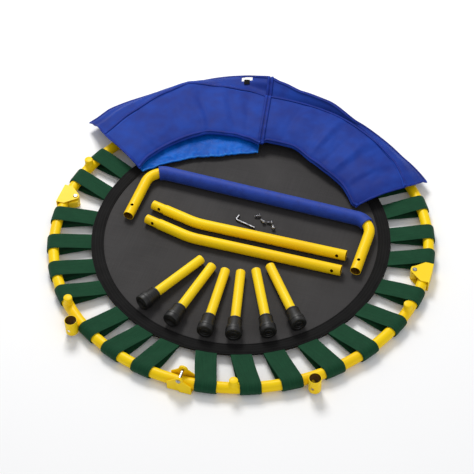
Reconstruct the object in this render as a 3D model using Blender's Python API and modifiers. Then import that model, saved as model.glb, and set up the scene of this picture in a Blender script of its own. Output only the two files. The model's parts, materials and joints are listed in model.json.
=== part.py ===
"""Folding mini trampoline for children, laid out as a kit with its frame lying on its back.

Every size is in metres and every angle in degrees. +Z is up. The fold line runs along Y, the
left half of the frame stays on the floor and the right half folds up and over it.
"""

import math

import bmesh
import bpy
from mathutils import Euler, Matrix, Vector

# ---- frame ----
RING_OUTSIDE = 0.914
TUBE_OUTSIDE = 0.0254
TUBE_WALL = 0.0012
TUBE_END_GAP = 0.0008

# ---- webbing bands and mat ----
BAND_WIDTH = 0.044
BAND_THICK = 0.002
BAND_SLACK = 0.0018
BAND_TURN_POINTS = 5
BAND_SPAN = 0.0943
MAT_THICK = 0.0015
MAT_DROP = 0.0010
BORDER_WIDTH = 0.030
BORDER_THICK = 0.002
BORDER_RIM = 0.0055
MAT_SPLIT = 0.0006

# Each band's place on the tube, as degrees on from the start of its quarter of the ring, and how
# many degrees its sewn end at the mat stands off from there.
BANDS = {
    "far_right": (
        (6.8, -2.4),
        (16.6, 0.0),
        (28.9, 0.0),
        (40.6, 0.0),
        (52.5, 0.0),
        (64.5, 0.0),
        (76.5, 0.0),
    ),
    "far_left": (
        (7.5, 0.0),
        (19.2, 0.0),
        (31.5, 0.0),
        (43.9, 0.0),
        (55.8, 0.0),
        (70.0, 0.0),
        (81.0, 2.2),
    ),
    "near_left": (
        (8.3, -1.3),
        (20.0, -0.8),
        (31.1, 0.8),
        (40.8, 2.6),
        (57.5, 0.6),
        (67.2, 2.6),
        (78.0, 2.7),
    ),
    "near_right": (
        (7.5, -2.6),
        (19.6, -2.8),
        (31.3, -2.5),
        (44.0, -2.5),
        (55.8, -1.8),
        (68.6, -1.6),
        (80.8, -0.5),
    ),
}
QUARTER_START = {"far_right": 0, "far_left": 90, "near_left": 180, "near_right": 270}

# ---- leg bosses and the sockets of the handlebar ----
BOSSES = {"far_right": (45,), "far_left": (15, 75), "near_left": (45,), "near_right": (15, 75)}
BOSS_HEIGHT = 0.0285
FIT_GAP = 0.0002
SOCKET_WALL = 0.0013
SOCKET_TOP = 0.0310
SOCKET_LENGTH = 0.039
SOCKET_HOLE_DROP = 0.024
SOCKET_SWING = 36.9
WELD_BITE = 0.0008
WELD_RADIUS = 0.007
WELD_ROOT = 0.003
CROSS_HOLE = 0.0080
CUT_PAST = 0.010

# ---- fold hinges, with a pin above the tube ----
PLATE = 0.002
PIN_RADIUS = 0.003
PIN_HEAD_RADIUS = 0.0055
PIN_HEAD_THICK = 0.0018
RIVET_FLAT_SHARE = 0.7
FOLD_PIN_CLEAR = 0.0100
PIN_GAP = 0.0003
FOLD_LEAF_LENGTH = 0.028
FOLD_LOBE = 0.0105
FOLD_CHEEK_GAP = 0.0013
FOLD_LEAF_GAP = 0.0004
FOLD_SHOULDER_SHARE = 0.75
LOBE_STEP = 30

# ---- swing hinges, with a pin inside the ring ----
SWING_LENGTH = 0.029
SWING_PIN_CLEAR = 0.0113
SWING_LOBE = 0.0095
SWING_STRIP_SHARE = 0.35
SWING_TANGENT = 230
SWING_LOBE_STEP = 25
TONGUE_HEIGHT = 0.018
TONGUE_LENGTH = 0.024
TONGUE_GAP = 0.0015

# ---- legs ----
LEG_LENGTH = 0.193
LEG_OUTSIDE = 0.0222
LEG_WALL = 0.0011
FOOT_LENGTH = 0.046
FOOT_RADIUS = 0.0190
FOOT_COLLAR = 0.0163
FOOT_STEP = 0.022
FOOT_FLOOR = 0.007
FOOT_SHOULDER = 0.002
LEG_FOOT_IN = 0.034
# Direction of each leg's foot and of its open end, seen from the middle of the mat.
LEG_FAN = (
    (241.6, 238.8),
    (257.0, 254.3),
    (272.2, 270.2),
    (284.0, 287.0),
    (298.3, 303.6),
    (311.3, 320.0),
)

# ---- handlebar ----
HANDLE_ARM = 0.158
HANDLE_OUTSIDE = 0.0254
HANDLE_WALL = 0.0012
HANDLE_CORNER = 0.042
HANDLE_HOLE_IN = 0.026
HANDLE_AT = (0.0125, 0.1250)
HANDLE_TURN = -1.8
GRIP_WALL = 0.0034
GRIP_GAP = 0.0012
CORNER_STEPS = 4
GRIP_STEPS_IN = 3

# ---- lower bars ----
BAR_LENGTH = 0.490
BAR_BEND_AT = 0.122
BAR_BEND = 13.5
BAR_SWAGE = 0.030
BAR_TAPER = 0.007
BAR_HOLE_IN = 0.020
BAR_HOLE_LEAN = 66.0
BAR_EASE = 0.020
BAR_SPREAD = 0.0480
BAR_AT = (-0.229, 0.0270)

# ---- hex key and bolts ----
KEY_ACROSS = 0.0046
KEY_LONG = 0.053
KEY_SHORT = 0.016
KEY_CORNER = 0.004
KEY_BEND_SHARE = 0.3
KEY_AT = (-0.0262, 0.0452)
KEY_TURN = -15.0
BOLT_HEAD_RADIUS = 0.0052
BOLT_HEAD = 0.0034
BOLT_LENGTH = 0.012
BOLT_RECESS = 0.0018
BOLT_RECESS_RADIUS = 0.0021
BOLT_FLAT_RADIUS = 0.0036
BOLT_EDGE = 0.0012
BOLTS = ((0.0150, 0.0665, 25), (0.0325, 0.0615, -40), (0.0480, 0.0560, 10), (0.0640, 0.0515, -65))

# ---- padded frame cover, folded up and laid over the far side ----
# Each panel's two ends, in degrees, and its radii, as distances past the middle of the tube.
PADS = {
    "right": {"start": 34.8, "end": 97.2, "inner": -0.1633, "edge": 0.0077, "hem": 0.0477},
    "left": {"start": 97.6, "end": 152.6, "inner": -0.1423, "edge": 0.0477, "hem": 0.1017},
}
PAD_THICK = 0.027
PAD_INNER_SHARE = 0.6
PAD_MIDDLE_SHARE = 0.75
PAD_EDGE_SHARE = 0.9
PAD_CLEAR = 0.0012
PAD_HEM_LIFT = 0.003
SKIRT_THICK = 0.012

# ---- resolution ----
RING_STEPS = 12
TUBE_SIDES = 10
SOCKET_SIDES = 16
BOLT_SIDES = 8
PAD_STEPS = 10
MERGE = 1e-6
TURN_MERGE = 1e-5
SHARP_ANGLE = 40
LAY_GAP = 0.0003

# ---- worked out from the sizes above ----
TUBE_R = TUBE_OUTSIDE / 2
RING_R = RING_OUTSIDE / 2 - TUBE_R
TUBE_Z = TUBE_R + BAND_SLACK + BAND_THICK
PIN_Z = TUBE_Z + TUBE_R + FOLD_PIN_CLEAR
SWING_PIN_IN = TUBE_R + SWING_PIN_CLEAR
MAT_RADIUS = RING_R - BAND_SPAN
MAT_TOP = TUBE_Z - MAT_DROP + MAT_THICK / 2
LAY_Z = MAT_TOP + LAY_GAP
BORDER_TOP = MAT_TOP + LAY_GAP + BORDER_THICK
BORDER_INNER = MAT_RADIUS + BORDER_RIM - BORDER_WIDTH
BOSS_R = LEG_OUTSIDE / 2 - LEG_WALL - FIT_GAP
HANDLE_R = HANDLE_OUTSIDE / 2
SOCKET_BORE = HANDLE_R + FIT_GAP
SOCKET_R = SOCKET_BORE + SOCKET_WALL
SOCKET_AT = RING_R + TUBE_R + SOCKET_R - WELD_BITE
SOCKETS = {"near_left": 90 - SOCKET_SWING, "near_right": SOCKET_SWING}
HANDLE_SPAN = 2 * SOCKET_AT * math.sin(math.radians(SOCKET_SWING))
SWAGE_R = HANDLE_R - HANDLE_WALL - FIT_GAP
LEG_R = LEG_OUTSIDE / 2
LEG_FOOT_AT = MAT_RADIUS - LEG_FOOT_IN
LEG_TOP_AT = LEG_FOOT_AT - LEG_LENGTH
GRIP_R = HANDLE_R + GRIP_GAP + GRIP_WALL


def clear_scene():
    """Empty the file of objects."""
    for obj in list(bpy.data.objects):
        bpy.data.objects.remove(obj, do_unlink=True)


def make_collection(name):
    """Add a collection to the scene."""
    collection = bpy.data.collections.new(name)
    bpy.context.scene.collection.children.link(collection)
    return collection


def make_material(name, colour, roughness, metallic):
    """A Principled material of one finish."""
    material = bpy.data.materials.new(name)
    material.use_nodes = True
    shader = material.node_tree.nodes["Principled BSDF"]
    shader.inputs["Base Color"].default_value = (*colour, 1)
    shader.inputs["Roughness"].default_value = roughness
    shader.inputs["Metallic"].default_value = metallic
    return material


clear_scene()
PARTS = make_collection("mini_trampoline")
CUTTERS = make_collection("cutters")
YELLOW = make_material("yellow_powder_coat", (0.90, 0.62, 0.02), 0.35, 0.0)
WEBBING = make_material("green_webbing", (0.02, 0.09, 0.045), 0.85, 0.0)
MAT_CLOTH = make_material("mat_cloth", (0.045, 0.042, 0.042), 0.8, 0.0)
RUBBER = make_material("black_rubber", (0.012, 0.012, 0.012), 0.6, 0.0)
FOAM = make_material("blue_foam", (0.02, 0.04, 0.35), 0.7, 0.0)
STEEL = make_material("plated_steel", (0.62, 0.62, 0.64), 0.3, 1.0)
PAD_CLOTH = make_material("blue_pad_cloth", (0.015, 0.03, 0.35), 0.5, 0.0)


def make_empty(name, location, parent=None):
    """An empty that carries a moving group."""
    empty = bpy.data.objects.new(name, None)
    empty.empty_display_size = 0.05
    empty.location = location
    empty.parent = parent
    PARTS.objects.link(empty)
    return empty


def make_object(name, bm, material, collection=PARTS):
    """Turn a bmesh into an object, smooth on its round faces."""
    mesh = bpy.data.meshes.new(name)
    bm.to_mesh(mesh)
    bm.free()
    mesh.materials.append(material)
    mesh.shade_smooth()
    mesh.set_sharp_from_angle(angle=math.radians(SHARP_ANGLE))
    obj = bpy.data.objects.new(name, mesh)
    collection.objects.link(obj)
    if collection is CUTTERS:
        obj.hide_render = True
        obj.display_type = "WIRE"
    return obj


def combine(obj, other, operation):
    """Join or cut a part with a helper object, which then moves with the part."""
    other.parent = obj
    modifier = obj.modifiers.new(f"{operation.lower()}_{other.name}", "BOOLEAN")
    modifier.operation = operation
    modifier.object = other
    modifier.solver = "EXACT"
    return obj


def thicken(obj, thickness, offset):
    """Give an open surface its sheet thickness."""
    modifier = obj.modifiers.new("sheet", "SOLIDIFY")
    modifier.thickness = thickness
    modifier.offset = offset
    modifier.use_even_offset = True
    return obj


def polar(radius, degrees, z=0.0):
    """A point at a distance and a direction from the middle of the ring."""
    angle = math.radians(degrees)
    return Vector((radius * math.cos(angle), radius * math.sin(angle), z))


def add_loop(bm, points, closed=True):
    """Add a chain of points joined by edges."""
    verts = [bm.verts.new(p) for p in points]
    pairs = list(zip(verts, verts[1:]))
    if closed:
        pairs.append((verts[-1], verts[0]))
    return verts, [bm.edges.new(pair) for pair in pairs]


def finish_faces(bm):
    """Merge doubled points and turn every face outwards."""
    bmesh.ops.remove_doubles(bm, verts=bm.verts, dist=MERGE)
    bmesh.ops.recalc_face_normals(bm, faces=bm.faces)


def spin_section(section, start, end, steps):
    """Sweep a closed (radius, height) section about the ring's axis and close its two ends."""
    bm = bmesh.new()
    verts, edges = add_loop(bm, [polar(r, start, z) for r, z in section])
    bmesh.ops.spin(
        bm,
        geom=verts + edges,
        cent=(0, 0, 0),
        axis=(0, 0, 1),
        angle=math.radians(end - start),
        steps=steps,
    )
    bmesh.ops.holes_fill(bm, edges=[e for e in bm.edges if e.is_boundary], sides=0)
    finish_faces(bm)
    return bm


def spin_circle(start, end, steps):
    """Sweep the tube's round section along part of the ring, open at both ends."""
    bm = bmesh.new()
    turn = 2 * math.pi / TUBE_SIDES
    angles = [turn * (i + 0.5) for i in range(TUBE_SIDES)]
    section = [(RING_R + TUBE_R * math.cos(a), TUBE_Z + TUBE_R * math.sin(a)) for a in angles]
    verts, edges = add_loop(bm, [polar(r, start, z) for r, z in section])
    bmesh.ops.spin(
        bm,
        geom=verts + edges,
        cent=(0, 0, 0),
        axis=(0, 0, 1),
        angle=math.radians(end - start),
        steps=steps,
    )
    bmesh.ops.recalc_face_normals(bm, faces=bm.faces)
    return bm


def cylinder(radius, start, end, sides=TUBE_SIDES):
    """A closed cylinder between two points."""
    bm = bmesh.new()
    axis = Vector(end) - Vector(start)
    turn = axis.to_track_quat("Z", "Y").to_matrix().to_4x4()
    middle = Matrix.Translation((Vector(start) + Vector(end)) / 2)
    bmesh.ops.create_cone(
        bm,
        cap_ends=True,
        segments=sides,
        radius1=radius,
        radius2=radius,
        depth=axis.length,
        matrix=middle @ turn,
    )
    return bm


def turned(name, profile, material, closed=False, steps=TUBE_SIDES):
    """A turned piece: its profile lies at +X and runs down the outer side."""
    bm = bmesh.new()
    add_loop(bm, [(r, 0, z) for r, z in profile], closed)
    obj = make_object(name, bm, material)
    screw = obj.modifiers.new("turn", "SCREW")
    screw.steps = steps
    screw.render_steps = steps
    screw.use_merge_vertices = True
    screw.merge_threshold = TURN_MERGE
    return obj


def swept_tube(name, points, radius, material, radii=None, caps=False, resolution=3):
    """A tube along a path, made from a bevelled curve and turned into a mesh."""
    curve = bpy.data.curves.new(name + "_path", "CURVE")
    curve.dimensions = "3D"
    curve.bevel_depth = radius
    curve.bevel_resolution = resolution
    curve.use_fill_caps = caps
    spline = curve.splines.new("POLY")
    spline.points.add(len(points) - 1)
    for i, point in enumerate(points):
        spline.points[i].co = (*point, 1)
        spline.points[i].radius = radii[i] / radius if radii else 1.0
    guide = bpy.data.objects.new(name + "_path", curve)
    PARTS.objects.link(guide)
    graph = bpy.context.evaluated_depsgraph_get()
    mesh = bpy.data.meshes.new_from_object(guide.evaluated_get(graph))
    placed = guide.matrix_world.copy()
    bpy.data.objects.remove(guide, do_unlink=True)
    bm = bmesh.new()
    bm.from_mesh(mesh)
    bpy.data.meshes.remove(mesh)
    finish_faces(bm)
    obj = make_object(name, bm, material)
    obj.matrix_world = placed
    return obj


def quarter_span(quarter):
    """First and last angle of a quarter's tube, short of the butt joints."""
    start = QUARTER_START[quarter]
    gap = math.degrees(TUBE_END_GAP / RING_R)
    return start + gap, start + 90 - gap


def make_socket(quarter, tube):
    """The open stub that takes a lower bar, welded to the outside of the ring."""
    angle = QUARTER_START[quarter] + SOCKETS[quarter]
    top = TUBE_Z + SOCKET_TOP
    bottom = top - SOCKET_LENGTH
    at = polar(SOCKET_AT, angle)
    stub = cylinder(SOCKET_R, (at.x, at.y, bottom), (at.x, at.y, top), SOCKET_SIDES)
    combine(tube, make_object(f"socket_stub_{quarter}", stub, YELLOW, CUTTERS), "UNION")
    weld_from = polar(RING_R + TUBE_R - WELD_ROOT, angle, TUBE_Z)
    weld_to = polar(SOCKET_AT - SOCKET_BORE, angle, TUBE_Z)
    weld = cylinder(WELD_RADIUS, weld_from, weld_to)
    combine(tube, make_object(f"socket_weld_{quarter}", weld, YELLOW, CUTTERS), "UNION")
    low, high = bottom - CUT_PAST, top + CUT_PAST
    bore = cylinder(SOCKET_BORE, (at.x, at.y, low), (at.x, at.y, high), SOCKET_SIDES)
    combine(tube, make_object(f"socket_bore_{quarter}", bore, YELLOW, CUTTERS), "DIFFERENCE")
    height = top - SOCKET_HOLE_DROP
    reach = SOCKET_AT + 2 * SOCKET_R
    hole = cylinder(CROSS_HOLE / 2, polar(SOCKET_AT, angle, height), polar(reach, angle, height))
    combine(tube, make_object(f"socket_hole_{quarter}", hole, YELLOW, CUTTERS), "DIFFERENCE")


def make_quarter(quarter, parent):
    """One quarter of the ring with its leg bosses and, on the near side, a handlebar socket."""
    start, end = quarter_span(quarter)
    tube = make_object(f"ring_tube_{quarter}", spin_circle(start, end, RING_STEPS), YELLOW)
    thicken(tube, TUBE_WALL, -1)
    for number, angle in enumerate(BOSSES[quarter], 1):
        foot = polar(RING_R, QUARTER_START[quarter] + angle, TUBE_Z + TUBE_R / 2)
        top = polar(RING_R, QUARTER_START[quarter] + angle, TUBE_Z + BOSS_HEIGHT)
        boss = make_object(f"boss_{quarter}_{number}", cylinder(BOSS_R, foot, top), YELLOW, CUTTERS)
        combine(tube, boss, "UNION")
    if quarter in SOCKETS:
        make_socket(quarter, tube)
    tube.parent = parent
    return tube


def band_path():
    """Middle line of a band in radius and height: out over the tube and back under it."""
    loop = TUBE_R + BAND_SLACK + BAND_THICK / 2
    end = MAT_RADIUS + BORDER_RIM / 2
    turns = [90 - 180 * i / (BAND_TURN_POINTS - 1) for i in range(BAND_TURN_POINTS)]
    around = [
        (RING_R + loop * math.cos(math.radians(a)), TUBE_Z + loop * math.sin(math.radians(a)))
        for a in turns
    ]
    upper = (end, BORDER_TOP - BORDER_THICK / 2)
    lower = (end, MAT_TOP - MAT_THICK - LAY_GAP - BORDER_THICK / 2)
    return [upper, *around, lower]


def band_strips(quarter):
    """The open surfaces of a quarter's bands, each flat across its width."""
    bm = bmesh.new()
    for offset, lean in BANDS[quarter]:
        angle = QUARTER_START[quarter] + offset
        side = polar(BAND_WIDTH / 2, angle + 90)
        rows = []
        for radius, z in band_path():
            inward = max(0.0, (RING_R - radius) / BAND_SPAN)
            middle = polar(radius, angle + lean * inward, z)
            rows.append((bm.verts.new(middle - side), bm.verts.new(middle + side)))
        for a, b in zip(rows, rows[1:]):
            bm.faces.new((a[0], b[0], b[1], a[1]))
    bmesh.ops.recalc_face_normals(bm, faces=bm.faces)
    return bm


def border_section():
    """Section of the sewn border: a flange on the mat and a rim past its edge."""
    under = MAT_TOP + LAY_GAP
    rim = MAT_RADIUS + LAY_GAP
    edge = MAT_RADIUS + BORDER_RIM
    bottom = MAT_TOP - MAT_THICK - LAY_GAP - BORDER_THICK
    return [
        (BORDER_INNER, BORDER_TOP),
        (edge, BORDER_TOP),
        (edge, bottom),
        (rim, bottom),
        (rim, under),
        (BORDER_INNER, under),
    ]


def make_webbing(quarter, parent):
    """A quarter of the mat's border with the bands sewn to it."""
    gap = math.degrees(MAT_SPLIT / BORDER_INNER)
    start = QUARTER_START[quarter] + gap
    end = QUARTER_START[quarter] + 90 - gap
    bm = spin_section(border_section(), start, end, RING_STEPS)
    border = make_object(f"webbing_{quarter}", bm, WEBBING)
    strips = make_object(f"bands_{quarter}", band_strips(quarter), WEBBING, CUTTERS)
    combine(border, thicken(strips, BAND_THICK, 0), "UNION")
    border.parent = parent
    return border


def make_mat(side, start, parent):
    """Half of the jumping mat, cut along the fold line."""
    bm = bmesh.new()
    steps = 2 * RING_STEPS
    shift = MAT_SPLIT if side == "right" else -MAT_SPLIT
    top = MAT_TOP
    lean = math.degrees(math.asin(MAT_SPLIT / MAT_RADIUS))
    turn = (180 - 2 * lean) / steps
    rim = [polar(MAT_RADIUS, start + lean + turn * i, top) for i in range(steps + 1)]
    rim[0].x = shift
    rim[-1].x = shift
    face = bm.faces.new([bm.verts.new(p) for p in rim])
    made = bmesh.ops.extrude_face_region(bm, geom=[face])
    low = [v for v in made["geom"] if isinstance(v, bmesh.types.BMVert)]
    bmesh.ops.translate(bm, verts=low, vec=(0, 0, -MAT_THICK))
    finish_faces(bm)
    mat = make_object(f"mat_{side}", bm, MAT_CLOTH)
    mat.parent = parent
    return mat


def cheek_outline(side, length):
    """Side view of a fold leaf, from the floor of the channel up round the pin."""
    near = side * TUBE_END_GAP
    far = side * length
    floor = TUBE_Z - TUBE_R - PIN_GAP - PLATE / 2
    shoulder = TUBE_Z + TUBE_R * FOLD_SHOULDER_SHARE
    lobe = [
        (
            -side * FOLD_LOBE * math.cos(math.radians(a)),
            PIN_Z + FOLD_LOBE * math.sin(math.radians(a)),
        )
        for a in range(180, -LOBE_STEP - 1, -LOBE_STEP)
    ]
    return [(near, floor), (far, floor), (far, shoulder), *lobe]


def make_fold_leaf(name, side, half_width, place, parent):
    """A bent channel under the tube, with a lobe round the pin on both cheeks."""
    bm = bmesh.new()
    outline = cheek_outline(side, FOLD_LEAF_LENGTH)
    cheeks = []
    for offset in (-half_width, half_width):
        verts = [bm.verts.new((x, place + offset, z)) for x, z in outline]
        bm.faces.new(verts)
        cheeks.append(verts)
    bm.faces.new((cheeks[0][0], cheeks[0][1], cheeks[1][1], cheeks[1][0]))
    bmesh.ops.recalc_face_normals(bm, faces=bm.faces)
    leaf = make_object(name, bm, YELLOW)
    thicken(leaf, PLATE, 0)
    reach = half_width + 2 * PLATE
    hole = cylinder(PIN_RADIUS + PIN_GAP, (0, place - reach, PIN_Z), (0, place + reach, PIN_Z))
    combine(leaf, make_object(f"pin_hole_{name}", hole, STEEL, CUTTERS), "DIFFERENCE")
    leaf.parent = parent
    return leaf


def rivet_profile(length, lower_head):
    """Profile of a rivet of this length between its heads, standing on z = 0."""
    flat = PIN_HEAD_RADIUS * RIVET_FLAT_SHARE
    top = [(0, length + PIN_HEAD_THICK), (flat, length + PIN_HEAD_THICK)]
    top += [(PIN_HEAD_RADIUS, length + PIN_HEAD_THICK / 2), (PIN_HEAD_RADIUS, length)]
    top += [(PIN_RADIUS, length)]
    if not lower_head:
        return top + [(PIN_RADIUS, 0), (0, 0)]
    low = [(PIN_RADIUS, 0), (PIN_HEAD_RADIUS, 0), (PIN_HEAD_RADIUS, -PIN_HEAD_THICK / 2)]
    low += [(flat, -PIN_HEAD_THICK), (0, -PIN_HEAD_THICK)]
    return top + low


def make_fold_hinge(where, place, left, right):
    """The two leaves and the pin of a hinge on the fold line."""
    narrow = TUBE_R + FOLD_CHEEK_GAP + PLATE / 2
    wide = narrow + PLATE + FOLD_LEAF_GAP
    make_fold_leaf(f"fold_leaf_{where}_left", -1, narrow, place, left)
    make_fold_leaf(f"fold_leaf_{where}_right", 1, wide, place, right)
    reach = wide + PLATE / 2 + PIN_GAP
    pin = turned(f"fold_pin_{where}", rivet_profile(2 * reach, True), STEEL)
    pin.location = (0, place + reach, PIN_Z)
    pin.rotation_euler = Euler((math.radians(90), 0, 0))
    pin.parent = left


def swing_lobe(angles):
    """Points of the round end that a swing hinge has about its pin, in plan."""
    arc = [math.radians(a) for a in angles]
    return [(-SWING_PIN_IN + SWING_LOBE * math.cos(a), SWING_LOBE * math.sin(a)) for a in arc]


def swing_outline():
    """Plan of the channel's plate: a strip along the tube, drawn in to a lobe inside the ring."""
    outer = TUBE_R + PIN_GAP + PLATE / 2
    inner = -TUBE_R * SWING_STRIP_SHARE
    lobe = swing_lobe(range(SWING_TANGENT, 359 - SWING_TANGENT, -SWING_LOBE_STEP))
    strip = [(outer, SWING_LENGTH), (outer, -SWING_LENGTH), (inner, -SWING_LENGTH)]
    return [*strip, *lobe, (inner, SWING_LENGTH)]


def make_swing_channel(name, angle):
    """The bent channel round the outside of the butt joint."""
    bm = bmesh.new()
    turn = Matrix.Rotation(math.radians(angle), 4, "Z")
    plates = []
    for z in (TUBE_Z - TUBE_R - PIN_GAP - PLATE / 2, TUBE_Z + TUBE_R + PIN_GAP + PLATE / 2):
        verts = [bm.verts.new(turn @ Vector((RING_R + r, t, z))) for r, t in swing_outline()]
        bm.faces.new(verts)
        plates.append(verts)
    bm.faces.new((plates[0][0], plates[0][1], plates[1][1], plates[1][0]))
    bmesh.ops.recalc_face_normals(bm, faces=bm.faces)
    channel = make_object(name, bm, YELLOW)
    thicken(channel, PLATE, 0)
    at = polar(RING_R - SWING_PIN_IN, angle)
    hole = cylinder(PIN_RADIUS + PIN_GAP, (at.x, at.y, -CUT_PAST), (at.x, at.y, 2 * TUBE_Z + CUT_PAST))
    combine(channel, make_object(f"pin_hole_{name}", hole, STEEL, CUTTERS), "DIFFERENCE")
    return channel


def make_swing_tongue(name, angle):
    """The block on the other tube that turns on the pin, between the channel's plates."""
    bm = bmesh.new()
    turn = Matrix.Rotation(math.radians(angle), 4, "Z")
    lobe = swing_lobe(range(0, -181, -LOBE_STEP))
    inner = -TUBE_R - TONGUE_GAP
    outline = [*lobe, (-SWING_PIN_IN - SWING_LOBE, TONGUE_LENGTH / 2), (inner, TONGUE_LENGTH)]
    outline.append((inner, 0))
    low = TUBE_Z - TONGUE_HEIGHT / 2
    face = bm.faces.new([bm.verts.new(turn @ Vector((RING_R + r, t, low))) for r, t in outline])
    made = bmesh.ops.extrude_face_region(bm, geom=[face])
    top = [v for v in made["geom"] if isinstance(v, bmesh.types.BMVert)]
    bmesh.ops.translate(bm, verts=top, vec=(0, 0, TONGUE_HEIGHT))
    finish_faces(bm)
    tongue = make_object(name, bm, YELLOW)
    at = polar(RING_R - SWING_PIN_IN, angle)
    hole = cylinder(PIN_RADIUS + PIN_GAP, (at.x, at.y, -CUT_PAST), (at.x, at.y, 2 * TUBE_Z + CUT_PAST))
    combine(tongue, make_object(f"pin_hole_{name}", hole, STEEL, CUTTERS), "DIFFERENCE")
    return tongue


def make_swing_hinge(where, angle, parent):
    """Channel, tongue and upright pin of a hinge that closes a folded half."""
    make_swing_channel(f"swing_channel_{where}", angle).parent = parent
    make_swing_tongue(f"swing_tongue_{where}", angle).parent = parent
    bottom = TUBE_Z - TUBE_R - PIN_GAP - PLATE
    top = TUBE_Z + TUBE_R + 2 * PIN_GAP + PLATE
    pin = turned(f"swing_pin_{where}", rivet_profile(top - bottom, False), STEEL)
    pin.location = polar(RING_R - SWING_PIN_IN, angle, bottom)
    pin.parent = parent


def tube_profile(outside, wall, bottom, top):
    """Closed profile of an open tube, down its outer side first."""
    outer = outside / 2
    return [(outer, top), (outer, bottom), (outer - wall, bottom), (outer - wall, top)]


def make_leg(number, foot_angle, top_angle, parent):
    """A loose leg tube and its rubber foot, lying on the mat."""
    lower = polar(LEG_FOOT_AT, foot_angle)
    upper = polar(LEG_TOP_AT, top_angle)
    heading = upper - lower
    tilt = math.asin((FOOT_RADIUS - LEG_R) / (LEG_LENGTH - FOOT_STEP))
    height = LAY_Z + LAY_GAP + FOOT_RADIUS + FOOT_STEP * math.sin(tilt)
    holder = make_empty(f"leg_{number}_place", (lower.x, lower.y, height), parent)
    spin = math.atan2(heading.y, heading.x)
    holder.rotation_euler = Euler((0, math.radians(90) + tilt, spin))
    tube = turned(
        f"leg_{number}_tube",
        tube_profile(LEG_OUTSIDE, LEG_WALL, FOOT_FLOOR + LAY_GAP, LEG_LENGTH),
        YELLOW,
        closed=True,
    )
    bore = LEG_R + LAY_GAP
    foot = turned(
        f"leg_{number}_foot",
        [
            (0, FOOT_FLOOR),
            (bore, FOOT_FLOOR),
            (bore, FOOT_LENGTH),
            (FOOT_COLLAR, FOOT_LENGTH),
            (FOOT_COLLAR, FOOT_STEP + FOOT_SHOULDER),
            (FOOT_RADIUS, FOOT_STEP),
            (FOOT_RADIUS, FOOT_SHOULDER),
            (FOOT_RADIUS - FOOT_SHOULDER, 0),
            (0, 0),
        ],
        RUBBER,
    )
    tube.parent = holder
    foot.parent = holder


def handle_path():
    """Middle line of the U-shaped handlebar, from the left arm's end to the right arm's end."""
    half = HANDLE_SPAN / 2
    angles = [math.radians(90 * i / CORNER_STEPS) for i in range(CORNER_STEPS + 1)]
    left = [
        (
            -half + HANDLE_CORNER * (1 - math.cos(a)),
            -HANDLE_CORNER * (1 - math.sin(a)),
            0,
        )
        for a in angles
    ]
    right = [(-x, y, z) for x, y, z in reversed(left)]
    return [(-half, -HANDLE_ARM, 0), *left, *right, (half, -HANDLE_ARM, 0)]


def make_handlebar(parent):
    """The top bar with its foam grip, lying on the mat."""
    path = handle_path()
    holder = make_empty("handlebar_place", (*HANDLE_AT, LAY_Z + GRIP_R), parent)
    drop = math.asin((GRIP_R - HANDLE_R) / HANDLE_ARM)
    holder.rotation_euler = Euler((drop, 0, math.radians(HANDLE_TURN)))
    tube = swept_tube("handlebar_tube", path, HANDLE_R, YELLOW)
    thicken(tube, HANDLE_WALL, -1)
    for side in (-1, 1):
        x = side * HANDLE_SPAN / 2
        y = HANDLE_HOLE_IN - HANDLE_ARM
        hole = cylinder(CROSS_HOLE / 2, (x, y, -2 * HANDLE_R), (x, y, 2 * HANDLE_R))
        cutter = make_object(f"handle_hole_{side}", hole, YELLOW, CUTTERS)
        combine(tube, cutter, "DIFFERENCE")
    tube.parent = holder
    covered = path[GRIP_STEPS_IN:-GRIP_STEPS_IN]
    grip = swept_tube("foam_grip", covered, GRIP_R, FOAM)
    thicken(grip, GRIP_WALL, -1)
    grip.parent = holder


def bar_path():
    """Middle line and radius of a lower bar, from its reduced end to its plain end."""
    bend = math.radians(BAR_BEND)
    start = Vector((math.cos(bend), -math.sin(bend), 0))
    knee = start * BAR_BEND_AT
    straight = Vector((1, 0, 0))
    middle = (knee - start * BAR_EASE + knee + straight * BAR_EASE) / 2
    points = [
        (Vector((0, 0, 0)), SWAGE_R),
        (start * BAR_SWAGE, SWAGE_R),
        (start * (BAR_SWAGE + BAR_TAPER), HANDLE_R),
        (knee - start * BAR_EASE, HANDLE_R),
        (middle.lerp(knee, 0.5), HANDLE_R),
        (knee + straight * BAR_EASE, HANDLE_R),
        (knee + straight * (BAR_LENGTH - BAR_BEND_AT), HANDLE_R),
    ]
    return points


def make_bar(name, y, parent):
    """A lower bar, bent once, with a hole near each end, lying on the mat."""
    points = bar_path()
    holder = make_empty(f"{name}_place", (BAR_AT[0], y, LAY_Z + HANDLE_R), parent)
    tube = swept_tube(name, [p for p, _ in points], HANDLE_R, YELLOW, [r for _, r in points])
    thicken(tube, HANDLE_WALL, -1)
    first = points[1][0].normalized() * BAR_HOLE_IN
    last = points[-1][0] - Vector((BAR_HOLE_IN, 0, 0))
    turn = math.radians(BAR_HOLE_LEAN)
    lean = Vector((0, -math.sin(turn), math.cos(turn))) * 2 * HANDLE_R
    for number, at in enumerate((first, last)):
        hole = cylinder(CROSS_HOLE / 2, at - lean, at + lean)
        cutter = make_object(f"{name}_hole_{number}", hole, YELLOW, CUTTERS)
        combine(tube, cutter, "DIFFERENCE")
    tube.parent = holder


def make_hex_key(parent):
    """The L-shaped key for the bolts."""
    bend = KEY_CORNER * KEY_BEND_SHARE
    points = [(0, KEY_SHORT, 0), (0, KEY_CORNER, 0), (bend, bend, 0), (KEY_CORNER, 0, 0)]
    points.append((KEY_LONG, 0, 0))
    radius = KEY_ACROSS / math.sqrt(3)
    holder = make_empty("hex_key_place", (*KEY_AT, LAY_Z + radius), parent)
    holder.rotation_euler = Euler((0, 0, math.radians(KEY_TURN)))
    key = swept_tube("hex_key", points, radius, STEEL, caps=True, resolution=1)
    key.parent = holder


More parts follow.
